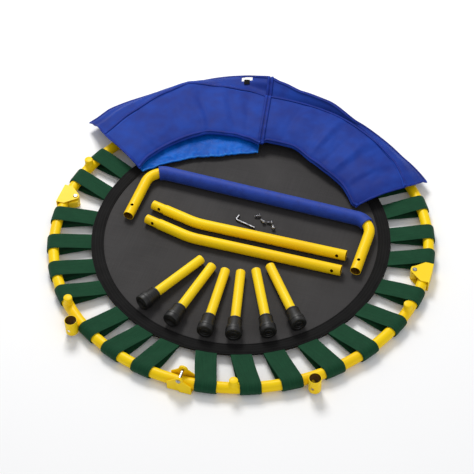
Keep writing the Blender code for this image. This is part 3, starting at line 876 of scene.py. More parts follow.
BAND_ROWS: dict[Quarter, tuple[tuple[float, ...], ...]] = {
    Quarter.FAR_RIGHT: ((6.8, -2.4), (16.6,), (28.9,), (40.6,), (52.5,), (64.5,), (76.5,)),
    Quarter.FAR_LEFT: ((7.5,), (19.2,), (31.5,), (43.9,), (55.8,), (70.0,), (81.0, 2.2)),
    Quarter.NEAR_LEFT: (
        *((8.3, -1.3), (20.0, -0.8), (31.1, 0.8), (40.8, 2.6)),
        *((57.2, 0.6, 0.0455), (67.2, 2.6, 0.0465), (78.0, 2.7, 0.0470)),
    ),
    Quarter.NEAR_RIGHT: (
        *((7.2, -2.9, 0.0485), (19.7, -2.8, 0.0470), (31.3, -2.5, 0.0480), (44.0, -2.5, 0.0475)),
        *((55.8, -1.8, 0.0460), (68.6, -1.6), (80.8, -0.5)),
    ),
}
BAND_PLACES = {quarter: [BandPlace(*row) for row in rows] for quarter, rows in BAND_ROWS.items()}


@dataclass
class Ring:
    """The folding ring: four bent tubes, six leg bosses and two sockets."""

    boss: float = 0.0098
    boss_top: float = 0.0450
    boss_chamfer: float = 0.0012
    bosses: tuple[int, ...] = (45, 105, 165, 225, 285, 345)
    socket_at: float = 0.4704
    socket_swing: float = 36.9
    socket_out: float = 0.0142
    socket_bore: float = 0.0129
    socket_low: float = 0.0085
    socket_high: float = 0.0475
    socket_hole_faces: float = 262.0
    socket_hole_z: float = 0.0235
    socket_hole: float = 0.0040
    socket_bead: Table = ((-0.016, 0.0085), (-0.0145, 0.0092), (-0.0115, 0.0072), (-0.010, 0.0065))
    boss_bead: Table = ((-0.0010, 0.0034), (0.0004, 0.0028), (0.0016, 0.0018), (0.0027, 0.0002))
    steps: int = 44

    def tubes(self) -> None:
        """Build each quarter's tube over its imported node."""
        for quarter in Quarter:
            gap = math.degrees(SIZES.end_gap / SIZES.ring)
            start, end = quarter.value + gap, quarter.value + 90 - gap
            path = []
            for i in range(self.steps + 1):
                angle = start + (end - start) * i / self.steps
                path.append((polar(SIZES.ring, angle, SIZES.height), polar(1, angle + 90), SIZES.tube))
            skin = Skin().tube(open_tube(path, SIZES.wall, LIP), 30, closed=True)
            tube = skin.build(f"ring_{quarter.title}", COAT)
            settle(tube, quarter.body, f"ring_tube_{quarter.title}")

    def weld(self, name: str, at: float, radius: float, distance: float, body: str) -> None:
        """Run a bead of weld round an upright stub where it meets the tube.

        Args:
            name: the bead's name.
            at: the stub's direction from the ring's middle.
            radius: the stub's radius.
            distance: the stub's distance from the ring's middle.
            body: the body that it rides on.
        """
        middle = polar(distance, at)
        out, side = polar(1, at), polar(1, at + 90)
        rows = []
        for i in range(48):
            angle = math.tau * i / 48
            heading = out * math.cos(angle) + side * math.sin(angle)
            lumps = 0.00025 * math.sin(angle * 17) + 0.00015 * math.sin(angle * 7 + 1)
            row = []
            for reach, rise in self.boss_bead:
                point = middle + heading * (radius + reach + (lumps if reach > 0 else 0))
                off = math.hypot(point.x, point.y) - SIZES.ring
                drop = math.sqrt(max(SIZES.tube**2 - off**2, 0.0))
                row.append(point + Vector((0, 0, SIZES.height + drop + rise + lumps)))
            row.append(middle + heading * (radius - 0.001) + Vector((0, 0, SIZES.height)))
            rows.append(row)
        settle(Skin().patch(rows, around=True, along=True).build(name, COAT), body)

    def stubs(self) -> None:
        """Build the leg bosses, with their chamfered tops and weld beads."""
        low, top, chamfer = SIZES.height + SIZES.tube * 0.4, self.boss_top, self.boss_chamfer
        profile = [
            (0, low), (self.boss, low), (self.boss, top - chamfer),
            (self.boss - chamfer * 0.35, top - chamfer * 0.35), (self.boss - chamfer, top), (0, top),
        ]
        for at in self.bosses:
            body = Quarter(at // 90 * 90).body
            place = Matrix.Translation(polar(SIZES.ring, at))
            settle(Skin().turned(profile).build(f"boss_{at}_deg", COAT, place), body)
            self.weld(f"boss_weld_{at}_deg", at, self.boss, SIZES.ring, body)

    def sockets(self) -> None:
        """Build the open sockets of the lower bars, each with its cross hole."""
        for side, at in (("left", 270 - self.socket_swing), ("right", 270 + self.socket_swing)):
            lip = 0.0004
            profile = [
                (self.socket_bore, self.socket_low + lip), (self.socket_bore + lip, self.socket_low),
                (self.socket_out - lip, self.socket_low), (self.socket_out, self.socket_low + lip),
                (self.socket_out, self.socket_high - lip), (self.socket_out - lip, self.socket_high),
                (self.socket_bore + lip, self.socket_high),
                (self.socket_bore, self.socket_high - lip),
            ]
            place = Matrix.Translation(polar(self.socket_at, at))
            socket = Skin().ring(profile, 48).build(f"socket_{side}", COAT, place)
            start = polar(self.socket_at, at, self.socket_hole_z)
            end = start + polar(2 * self.socket_out, self.socket_hole_faces)
            drill(socket, [(start, end, self.socket_hole)])
            body = f"{side}_half"
            settle(socket, body)
            rows = []
            for i in range(24):
                turn = math.tau * i / 24
                across, up = math.cos(turn), math.sin(turn)
                row = []
                for reach, wide in self.socket_bead:
                    lump = 0.0002 * math.sin(9 * turn)
                    base = polar(self.socket_at + reach, at, SIZES.height + up * (wide + lump))
                    row.append(base + polar(across * (wide * 0.8 + lump), at + 90))
                rows.append(row)
            bead = Skin().patch(rows, around=False, along=True)
            bead.cap([r[0] for r in rows]).cap([r[-1] for r in rows])
            settle(bead.build(f"socket_weld_{side}", COAT), body)

    def build(self) -> None:
        """Build the whole ring."""
        self.tubes()
        self.stubs()
        self.sockets()


@dataclass
class Mat:
    """The jumping mat, its sewn border and the elastic bands that stretch it."""

    band_thick: float = 0.0018
    band_slack: float = 0.0013
    band_start: float = 0.3520
    border_top: float = 0.01875
    border_low: float = 0.01280
    turn_steps: int = 12
    run_steps: int = 12
    flat_size: float = 0.711
    rows_across: int = 44

    def blend(self, piece: bpy.types.Object) -> None:
        """Bake a piece of cloth's place into its mesh, leaving it on no body, and log that it bends across
        the fold line.
        """
        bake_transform(piece)
        LOG.info("%s bends between left_half and right_half", piece.name)

    def cloth(self) -> bpy.types.Object:
        """Build the mat as one tight disc, finely divided along the fold line."""
        radius = SIZES.mat
        fold_step = 0.003
        dense = [-0.045 + fold_step * i for i in range(31)]
        coarse = [radius * math.sin(math.radians(a)) for a in range(-90, 91, 4)]
        columns = sorted([x for x in coarse if abs(x) > 0.05] + dense)
        columns[0], columns[-1] = -radius * 0.9995, radius * 0.9995

        def level(x: float, y: float, side: int) -> Vector:
            """A point of the mat's top or underside."""
            wave = 0.00025 * ripple(Vector((x, y, 0)), 0.11) * (1 - math.hypot(x, y) / radius)
            return Vector((x, y, SIZES.mat_top + wave - (SIZES.mat_thick if side else 0)))

        skin = Skin()
        for side in (0, 1):
            rows = []
            for x in columns:
                half = math.sqrt(radius * radius - x * x)
                shares = [2 * j / self.rows_across - 1 for j in range(self.rows_across + 1)]
                rows.append([level(x, half * share, side) for share in shares])
            skin.patch(rows, lambda i, j, r=rows: (r[i][j].x, r[i][j].y))
            edge = [row[0] for row in rows] + [row[-1] for row in reversed(rows)]
            if side:
                skin.patch([top, edge], around=True)
            top = edge
        mat = skin.build("jumping_mat", MAT_WEAVE)
        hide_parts("mat_left", "mat_right")
        self.blend(mat)
        return mat

    def swell(self, angle: float) -> float:
        """How far the border stands up over the band ends, as a share."""
        most = 0.0
        for quarter, places in BAND_PLACES.items():
            for place in places:
                half = math.degrees(place.width / 2 / SIZES.border_out)
                away = angle - quarter.value - place.at - place.lean
                share = (half + 0.5 - abs((away + 180) % 360 - 180)) / 0.9
                most = max(most, min(1.0, share))
        return most * most * (3 - 2 * most)

    def border(self) -> bpy.types.Object:
        """Build the sewn border, with two sunk stitch lines and a lump over each band's end."""
        inner, outer = SIZES.border_in, SIZES.border_out
        wide = outer - inner
        section = [
            (inner + 0.0002, -0.0012, 0.0), (inner, -0.0004, 0.0), (inner + 0.0008, 0.0, 0.1),
            (inner + 0.0022, 0.0, 0.2), (inner + 0.0030, -0.0007, 0.3),
            (inner + 0.0038, 0.0001, 0.5), (inner + wide * 0.35, 0.0002, 0.9),
            (inner + wide * 0.60, 0.0002, 1.0), (outer - 0.0052, 0.0002, 1.0),
            (outer - 0.0042, -0.0006, 1.0), (outer - 0.0034, 0.0, 1.0),
            (outer - 0.0008, -0.0002, 1.0), (outer, -0.0014, 0.8), (outer + 0.0001, -0.0035, 0.2),
            (outer - 0.0008, -0.0056, 0.0),
        ]
        steps = 288
        rows = []
        for i in range(steps):
            angle = 360 * i / steps
            lift = 0.0009 * self.swell(angle)
            row = [
                polar(r, angle, self.border_top + z + lift * share + 0.0002 * ripple(polar(r, angle), 0.01))
                for r, z, share in section
            ]
            row.append(polar(inner + 0.0002, angle, self.border_low))
            rows.append(row)
        turn = math.radians(360 / steps) * outer
        skin = Skin().patch(rows, lambda i, j: (j * wide / 12, i * turn), around=True, along=True)
        border = skin.build("mat_border", BORDER_TAPE)
        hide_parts(*(f"webbing_{q.title}" for q in Quarter))
        self.blend(border)
        return border

    def band_line(self) -> list[tuple[float, float, float]]:
        """The band's middle line: (radius, height, direction of its outer face)."""
        loop = SIZES.tube + self.band_slack + self.band_thick / 2
        upper = Vector((self.band_start, self.border_top - 0.0014))
        lower = Vector((self.band_start, self.border_low + 0.0012))
        centre = Vector((SIZES.ring, SIZES.height))
        line = []
        for end, sign in ((upper, 1), (lower, -1)):
            away = end - centre
            touch = sign * math.degrees(math.acos(loop / away.length))
            angle = math.degrees(math.atan2(away.y, away.x)) % 360 - touch
            at = centre + loop * Vector((math.cos(math.radians(angle)), math.sin(math.radians(angle))))
            run = [end.lerp(at, i / self.run_steps) for i in range(self.run_steps)]
            line.append(([(p.x, p.y, angle) for p in run], angle))
        (top, first), (bottom, last) = line
        sweep = last - 360 - first
        turn = []
        for i in range(self.turn_steps + 1):
            angle = first + sweep * i / self.turn_steps
            out = Vector((math.cos(math.radians(angle)), math.sin(math.radians(angle)))) * loop
            turn.append((centre.x + out.x, centre.y + out.y, angle))
        return [*top, *turn, *reversed(bottom)]

    def band(self, name: str, angle: float, shape: BandPlace) -> bpy.types.Object:
        """Build one band: a flat strap out over the tube and back beneath it.

        Args:
            name: the band's name.
            angle: its direction from the ring's middle.
            shape: its lean and its width.

        Returns:
            The band.
        """
        half, thick, seed = shape.width / 2, self.band_thick / 2, angle * 0.37
        span = SIZES.ring - SIZES.mat
        share = [math.sin(math.pi * (j / 12 - 0.5)) for j in range(13)]
        section = [(half * s, thick * min(1.0, 4 * (1 - abs(s)) + 0.25)) for s in share]
        section += [(-x, -n) for x, n in section]
        side = polar(1, angle + 90)
        line = self.band_line()
        shift = ripple(Vector((seed, 0, 0)), 1.0) * 24
        deep = 0.0005 + 0.0006 * abs(ripple(Vector((0, seed, 0)), 1.0))
        lengths = [0.0]
        for a, b in zip(line, line[1:]):
            lengths.append(lengths[-1] + math.hypot(b[0] - a[0], b[1] - a[1]))
        rows = []
        for station, (radius, height, facing) in enumerate(line):
            up = math.radians(facing)
            run = self.run_steps
            free = station / run if station < run else max(0.0, (station - run - self.turn_steps) / run)
            slack = math.sin(math.pi * min(1.0, free)) if free else 0.0
            row = []
            for x, n in section:
                wave = deep * slack * math.sin(x * 150 + shift + free * 5)
                curl = 0.0006 * slack * (x / half) ** 2
                rise = n + wave + curl
                lean = shape.lean * max(0.0, (SIZES.ring - radius) / span)
                middle = polar(radius + rise * math.cos(up), angle + lean, height + rise * math.sin(up))
                row.append(middle + side * x)
            rows.append(row)
        chart = [x for x, _ in section] + [section[0][0]]
        skin = Skin().patch(rows, lambda i, j: (chart[j % len(chart)], lengths[i]), around=True)
        skin.cap(rows[0]).cap(rows[-1])
        return skin.build(name, BAND_TAPE)

    def bands(self) -> None:
        """Build all the bands. Those that reach into the fold are baked in place like the mat, on no body;
        the others ride on their quarter's body.
        """
        for quarter, places in BAND_PLACES.items():
            for number, place in enumerate(places, 1):
                angle = quarter.value + place.at
                piece = self.band(f"band_{quarter.title}_{number}", angle, place)
                reach = abs(polar(SIZES.border_out, angle + place.lean).x) - place.width / 2
                if reach < FOLD_HALF_WIDTH:
                    self.blend(piece)
                else:
                    settle(piece, quarter.body)

    def build(self) -> None:
        mat, border = self.cloth(), self.border()
        self.bands()


# --------------------------------------------------------------------------- hinges


@dataclass
class Hinges:
    """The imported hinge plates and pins, with softened edges and their finishes."""

    plate_bevel: float = 0.0005
    pin_bevel: float = 0.0003

    def soften(self, node: str, finish: Finish, width: float) -> None:
        """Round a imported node's edges and give it its finish.

        Args:
            node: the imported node's name.
            finish: what it is made of.
            width: the width of its rounded edges.
        """
        obj = frame["nodes"][node]
        obj.data.materials.clear()
        obj.data.materials.append(material_of(finish))
        bevel = obj.modifiers.new("edge", "BEVEL")
        bevel.width, bevel.segments, bevel.limit_method = width, 2, "ANGLE"
        bevel.angle_limit = math.radians(SHARP_ANGLE)
        bevel.harden_normals = True

    def build(self) -> None:
        """Dress every hinge."""
        for where in ("far", "near"):
            for side in ("left", "right"):
                self.soften(f"fold_leaf_{where}_{side}", COAT, self.plate_bevel)
            self.soften(f"fold_pin_{where}", STEEL, self.pin_bevel)
        for side in ("left", "right"):
            self.soften(f"swing_channel_{side}", COAT, self.plate_bevel)
            self.soften(f"swing_tongue_{side}", COAT, self.plate_bevel)
            self.soften(f"swing_pin_{side}", STEEL, self.pin_bevel)
        LOG.info("hinges dressed")


# ----------------------------------------------------------------------- loose parts

LAY_GAP = 0.0003
LAY_Z = SIZES.mat_top + LAY_GAP


@dataclass
class Legs:
    """Six loose legs laid out as a fan: an open tube in a stepped rubber foot."""

    length: float = 0.193
    radius: float = 0.0111
    wall: float = 0.0011
    foot: float = 0.0190
    collar: float = 0.0163
    foot_length: float = 0.046
    step: float = 0.022
    floor: float = 0.007
    foot_at: float = 0.316
    top_at: float = 0.123
    fan: tuple[tuple[float, float], ...] = (
        (241.6, 238.8), (257.0, 254.3), (272.2, 270.2), (284.0, 287.0), (298.3, 303.6),
        (311.3, 320.0),
    )

    def place(self, foot_angle: float, top_angle: float) -> Matrix:
        """Where a leg lies, with its own Z running from its foot to its open end."""
        lower, upper = polar(self.foot_at, foot_angle), polar(self.top_at, top_angle)
        tilt = math.asin((self.foot - self.radius) / (self.length - self.step))
        lower.z = LAY_Z + LAY_GAP + self.foot + self.step * math.sin(tilt)
        heading = upper - lower
        spin = Matrix.Rotation(math.atan2(heading.y, heading.x), 4, "Z")
        return Matrix.Translation(lower) @ spin @ Matrix.Rotation(math.radians(90) + tilt, 4, "Y")

    def tube_profile(self) -> list[tuple[float, float]]:
        """The open tube's closed loop, with rounded lips."""
        low, bore = self.floor + LAY_GAP, self.radius - self.wall
        return [
            (self.radius, low), (self.radius, self.length - LIP), (self.radius - LIP, self.length),
            (bore + LIP, self.length), (bore, self.length - LIP), (bore, low),
        ]

    def foot_profile(self) -> list[tuple[float, float]]:
        """The rubber foot: ringed sole, wide shoe, groove, collar with a bead, and mouth."""
        bore = self.radius + 0.0002
        return [
            (0, 0.0012), (0.0062, 0.0012), (0.0070, 0.0004), (0.0082, 0.0004), (0.0090, 0.0012),
            (0.0118, 0.0012), (0.0126, 0.0), (0.0166, 0.0), (0.0182, 0.0006), (self.foot, 0.0026),
            (self.foot, 0.0090), (self.foot - 0.0007, 0.0098), (self.foot - 0.0007, 0.0110),
            (self.foot, 0.0118), (self.foot, self.step - 0.0028),
            (self.foot - 0.0009, self.step - 0.0008), (self.foot - 0.0022, self.step),
            (self.collar + 0.0006, self.step + 0.0005), (self.collar, self.step + 0.0018),
            (self.collar, self.foot_length - 0.0062),
            (self.collar - 0.0007, self.foot_length - 0.0052),
            (self.collar, self.foot_length - 0.0042),
            (self.collar - 0.0001, self.foot_length - 0.0012),
            (self.collar - 0.0012, self.foot_length), (bore + 0.0006, self.foot_length),
            (bore, self.foot_length - 0.0008), (bore, self.floor), (0, self.floor),
        ]

    def build(self) -> None:
        """Build the six legs."""
        for number, (foot_angle, top_angle) in enumerate(self.fan, 1):
            place, body = self.place(foot_angle, top_angle), f"leg_{number}"
            tube = Skin().ring(self.tube_profile(), 36).build(f"leg_{number}_pole", COAT, place)
            foot = Skin().turned(self.foot_profile(), 44).build(f"leg_{number}_shoe", RUBBER, place)
            settle(tube, body, f"leg_{number}_tube")
            settle(foot, body, f"leg_{number}_foot")


@dataclass
class Handlebar:
    """The U-shaped handlebar with its foam sleeve."""

    span: float = 0.564875
    arm: float = 0.158
    radius: float = 0.0127
    wall: float = 0.0012
    corner: float = 0.042
    grip_gap: float = 0.0006
    grip: float = 0.0173
    hole: float = 0.0040
    hole_in: float = 0.026
    at: tuple[float, float] = (0.0125, 0.1250)
    turn: float = -1.8

    def line(self, steps: int = 12) -> list[Vector]:
        """The middle line, from the left arm's end to the right arm's end."""
        half, bend = self.span / 2, self.corner
        turns = [math.radians(90 * i / steps) for i in range(steps + 1)]
        left = [Vector((-half + bend * (1 - math.cos(a)), -bend * (1 - math.sin(a)), 0)) for a in turns]
        arm = [Vector((-half, -self.arm + (self.arm - bend) * i / 6, 0)) for i in range(6)]
        top = [Vector((-half + bend + (self.span - 2 * bend) * i / 16, 0, 0)) for i in range(1, 9)]
        first = [*arm, *left, *top]
        return first + [Vector((-p.x, p.y, 0)) for p in reversed(first[:-1])]

    def sleeve(self, place: Matrix) -> bpy.types.Object:
        """Build the foam sleeve, a little dimpled by hand and rounded at its ends."""
        line = self.line()
        covered = line[14:-12]
        stations = [(p, d, self.grip) for p, d in zip(covered, directions(covered))]
        bore = self.radius + self.grip_gap
        skin = Skin().tube(open_tube(stations, self.grip - bore, 0.0009), 40, closed=True)
        for i, point in enumerate(skin.points):
            skin.points[i] = point + Vector((0, 0, 0.00025)) * ripple(point, 0.05)
        return skin.build("foam_sleeve", FOAM, place)

    def build(self) -> None:
        """Build the handlebar where it lies on the mat."""
        drop = math.asin((self.grip - self.radius) / self.arm)
        lay = Matrix.Translation((*self.at, LAY_Z + self.grip))
        place = lay @ Matrix.Rotation(math.radians(self.turn), 4, "Z") @ Matrix.Rotation(drop, 4, "X")
        line = self.line()
        stations = [(p, d, self.radius) for p, d in zip(line, directions(line))]
        bar = Skin().tube(open_tube(stations, self.wall, LIP), 32, closed=True)
        tube = bar.build("handlebar", COAT, place)
        across = Vector((0, 0, 1.6 * self.radius))
        ends = [Vector((side * self.span / 2, self.hole_in - self.arm, 0)) for side in (-1, 1)]
        drill(tube, [(place @ (p - across), place @ (p + across), self.hole) for p in ends])
        sleeve = self.sleeve(place)
        settle(tube, "handlebar", "handlebar_tube")
        settle(sleeve, "handlebar", "foam_grip")


@dataclass
class LowerBars:
    """Two lower bars, each bent once, with a reduced end and a hole near each end."""

    length: float = 0.490
    bend_at: float = 0.122
    bend: float = 13.5
    swage: float = 0.030
    taper: float = 0.007
    radius: float = 0.0127
    reduced: float = 0.0113
    wall: float = 0.0011
    hole: float = 0.0040
    hole_in: float = 0.020
    spread: float = 0.0480
    at: tuple[float, float] = (-0.229, 0.0270)
    ease: float = 0.022
    hole_lean: float = 66.0

    def line(self) -> list[tuple[Vector, float]]:
        """Middle line and radius, from the reduced end to the plain end."""
        lean = math.radians(self.bend)
        start, straight = Vector((math.cos(lean), -math.sin(lean), 0)), Vector((1, 0, 0))
        knee = start * self.bend_at
        rows = [(start * s, self.reduced) for s in (0.0, 0.010, 0.020, self.swage - 0.001)]
        rows += [(start * (self.swage + self.taper * s), self.shrink(s)) for s in (0.2, 0.5, 0.8, 1.0)]
        low, high = knee - start * self.ease, knee + straight * self.ease
        rows += [(start * (self.swage + self.taper + 0.010), self.radius)]
        for i in range(13):
            t = i / 12
            point = low * (1 - t) ** 2 + knee * 2 * t * (1 - t) + high * t**2
            rows.append((point, self.radius))
        run = self.length - self.bend_at - self.ease
        rows += [(knee + straight * (self.ease + run * i / 10), self.radius) for i in range(1, 11)]
        return rows

    def shrink(self, share: float) -> float:
        """The radius partway along the taper."""
        eased = share * share * (3 - 2 * share)
        return self.reduced + (self.radius - self.reduced) * eased

    def build(self) -> None:
        """Build both bars where they lie on the mat."""
        for where, y in (("far", self.at[1]), ("near", self.at[1] - self.spread)):
            place = Matrix.Translation((self.at[0], y, LAY_Z + self.radius))
            rows = self.line()
            heads = directions([p for p, _ in rows])
            stations = [(p, d, r) for (p, r), d in zip(rows, heads)]
            bar = Skin().tube(open_tube(stations, self.wall, LIP), 32, closed=True)
            piece = bar.build(f"support_bar_{where}", COAT, place)
            turn = math.radians(self.hole_lean)
            lean = Vector((0, -math.sin(turn), math.cos(turn))) * 1.6 * self.radius
            ends = [heads[0] * self.hole_in, rows[-1][0] - Vector((self.hole_in, 0, 0))]
            drill(piece, [(place @ (p - lean), place @ (p + lean), self.hole) for p in ends])
            settle(piece, f"lower_bar_{where}_body", f"lower_bar_{where}")


@dataclass
class Fixings:
    """The hex key and the four button-head bolts."""

    across: float = 0.0046
    long_arm: float = 0.053
    short_arm: float = 0.016
    corner: float = 0.0055
    key_at: tuple[float, float] = (-0.0262, 0.0452)
    key_turn: float = -15.0
    shank: float = 0.003
    head: float = 0.0052
    head_high: float = 0.0034
    bolt_length: float = 0.012
    thread: float = 0.0009
    bolts: tuple[tuple[float, float, float], ...] = (
        (0.0150, 0.0665, 25), (0.0325, 0.0615, -40), (0.0480, 0.0560, 10), (0.0640, 0.0515, -65),
    )

    def key(self) -> None:
        """Build the L-shaped key from hexagonal rod."""
        radius = self.across / math.sqrt(3)
        steps = 8
        turns = [math.radians(90 * i / steps) for i in range(steps + 1)]
        bend = [Vector((self.corner * (1 - math.sin(a)), self.corner * (1 - math.cos(a)), 0)) for a in turns]
        line = [Vector((0, self.short_arm, 0)), *reversed(bend), Vector((self.long_arm, 0, 0))]
        stations = [(p, d, radius) for p, d in zip(line, directions(line))]
        chamfer = 0.0005
        first, last = stations[0], stations[-1]
        stations[0] = (first[0] + first[1] * chamfer, first[1], radius)
        stations[-1] = (last[0] - last[1] * chamfer, last[1], radius)
        stations.insert(0, (first[0], first[1], radius - chamfer))
        stations.append((last[0], last[1], radius - chamfer))
        lay = Matrix.Translation((*self.key_at, LAY_Z + radius))
        place = lay @ Matrix.Rotation(math.radians(self.key_turn), 4, "Z")
        key = Skin().tube(stations, 6).build("hex_wrench", KEY_STEEL, place)
        settle(key, "hex_key_body", "hex_key")

    def bolt_profile(self) -> list[tuple[float, float]]:
        """The bolt's outline: tip, thread ridges, plain neck and domed head."""
        rows = [(0, 0), (self.shank - 0.0008, 0), (self.shank - 0.0004, 0.0005)]
        count = int((self.bolt_length - 0.002) / self.thread)
        for i in range(count):
            z = 0.0005 + self.thread * (i + 0.5)
            rows += [(self.shank, z), (self.shank - 0.00045, z + self.thread / 2)]
        top = self.bolt_length + self.head_high
        rows += [(self.shank, self.bolt_length - 0.0006), (self.shank, self.bolt_length)]
        rows += [(self.head - 0.0004, self.bolt_length), (self.head, self.bolt_length + 0.0006)]
        for angle in (20, 40, 60, 75):
            a = math.radians(angle)
            reach = self.head * (0.42 + 0.58 * math.cos(a))
            rows.append((reach, self.bolt_length + 0.0006 + (self.head_high - 0.0006) * math.sin(a)))
        return [*rows, (0.0021, top), (0.0021, top - 0.0019), (0, top - 0.0022)]

    def build(self) -> None:
        """Build the key and the bolts where they lie on the mat."""
        self.key()
        tilt = math.asin((self.head - self.shank) / self.bolt_length)
        for number, (x, y, turn) in enumerate(self.bolts, 1):
            lay = Matrix.Translation((x, y, LAY_Z + self.shank + LAY_GAP))
            spin = Matrix.Rotation(math.radians(turn), 4, "Z")
            place = lay @ spin @ Matrix.Rotation(math.radians(90) - tilt, 4, "Y")
            bolt = Skin().turned(self.bolt_profile(), 24).build(f"button_bolt_{number}", STEEL, place)
            settle(bolt, f"bolt_{number}_body", f"bolt_{number}")


# ------------------------------------------------------------------------ frame cover

@dataclass(frozen=True)
class PanelCut:
    """Outline of one panel of the cover: radii against angle, and its two slanting ends."""

    side: str
    inner: Table
    crease: Table
    hem: Table
    start: Table
    end: Table
    inner_z: Table
    crown: Table
    fold_amount: float
    creases: Table
    upturn: Table


LEFT_CUT = PanelCut(
    side="left",
    inner=(
        *((97.6, 0.284), (104, 0.300), (110, 0.313), (121.5, 0.331)),
        *((133, 0.332), (148.6, 0.331), (156.6, 0.325)),
    ),
    crease=(
        *((97.6, 0.447), (105, 0.466), (113, 0.484), (122.7, 0.512)),
        *((130, 0.500), (142, 0.478), (151.5, 0.466)),
    ),
    hem=((97.6, 0.556), (109, 0.560), (122, 0.5545), (134, 0.548), (146.5, 0.557), (151.6, 0.550)),
    start=((0.27, 97.2), (0.56, 98.4)),
    end=((0.323, 156.6), (0.437, 154.7), (0.546, 151.6)),
    inner_z=((97.6, 0.044), (125, 0.047), (150, 0.041), (157, 0.034)),
    crown=((97.6, 0.0615), (125, 0.0630), (146, 0.0600), (157, 0.0540)),
    fold_amount=1.0,
    creases=((104.0, -0.0016), (112.0, 0.0014), (122.7, 0.0030), (131.0, -0.0012), (144.0, 0.0016)),
    upturn=((99, 1.0), (109, 0.35), (122, 0.0)),
)
RIGHT_CUT = PanelCut(
    side="right",
    inner=(
        *((33.6, 0.292), (37, 0.281), (49, 0.284), (60.5, 0.279)),
        *((70.5, 0.282), (82, 0.300), (95, 0.298), (97.4, 0.290)),
    ),
    crease=(
        *((34.8, 0.418), (39, 0.424), (46, 0.430), (58, 0.434)),
        *((74, 0.441), (87, 0.4430), (97.4, 0.447)),
    ),
    hem=(
        *((36, 0.486), (48.5, 0.478), (59, 0.482), (67, 0.486)),
        *((78, 0.509), (87.6, 0.518), (94.7, 0.540), (97.4, 0.552)),
    ),
    start=((0.28, 33.4), (0.4045, 34.9), (0.439, 35.2), (0.48, 37.2)),
    end=((0.27, 97.0), (0.56, 98.2)),
    inner_z=((33, 0.026), (45, 0.033), (65, 0.041), (97, 0.044)),
    crown=((33, 0.0450), (40, 0.0545), (50, 0.0580), (75, 0.0615), (97, 0.0615)),
    fold_amount=0.35,
    creases=((46.0, 0.0016), (57.0, 0.0026), (63.0, -0.0012), (71.0, 0.0022), (86.0, -0.0014)),
    upturn=((44, 0.0), (58, 0.45), (72, 1.0), (98, 1.0)),
)


TAPE_WIDTHS = {"inner": 0.0075, "crease": 0.0058, "end": 0.0060}
WELT_TAPES = {
    "left": (-0.0046, 0.0066, 0.0040, 1.0),
    "right": (0.0046, 0.0066, 0.0040, 1.0),
    "base": (0.0, 0.012, 0.0044, -0.3),
}
PANEL_CLOTH = {
    "quality": 5,
    "mass": 0.3,
    "tension_stiffness": 25,
    "compression_stiffness": 25,
    "shear_stiffness": 12,
    "bending_stiffness": 0.4,
    "use_pressure": True,
}


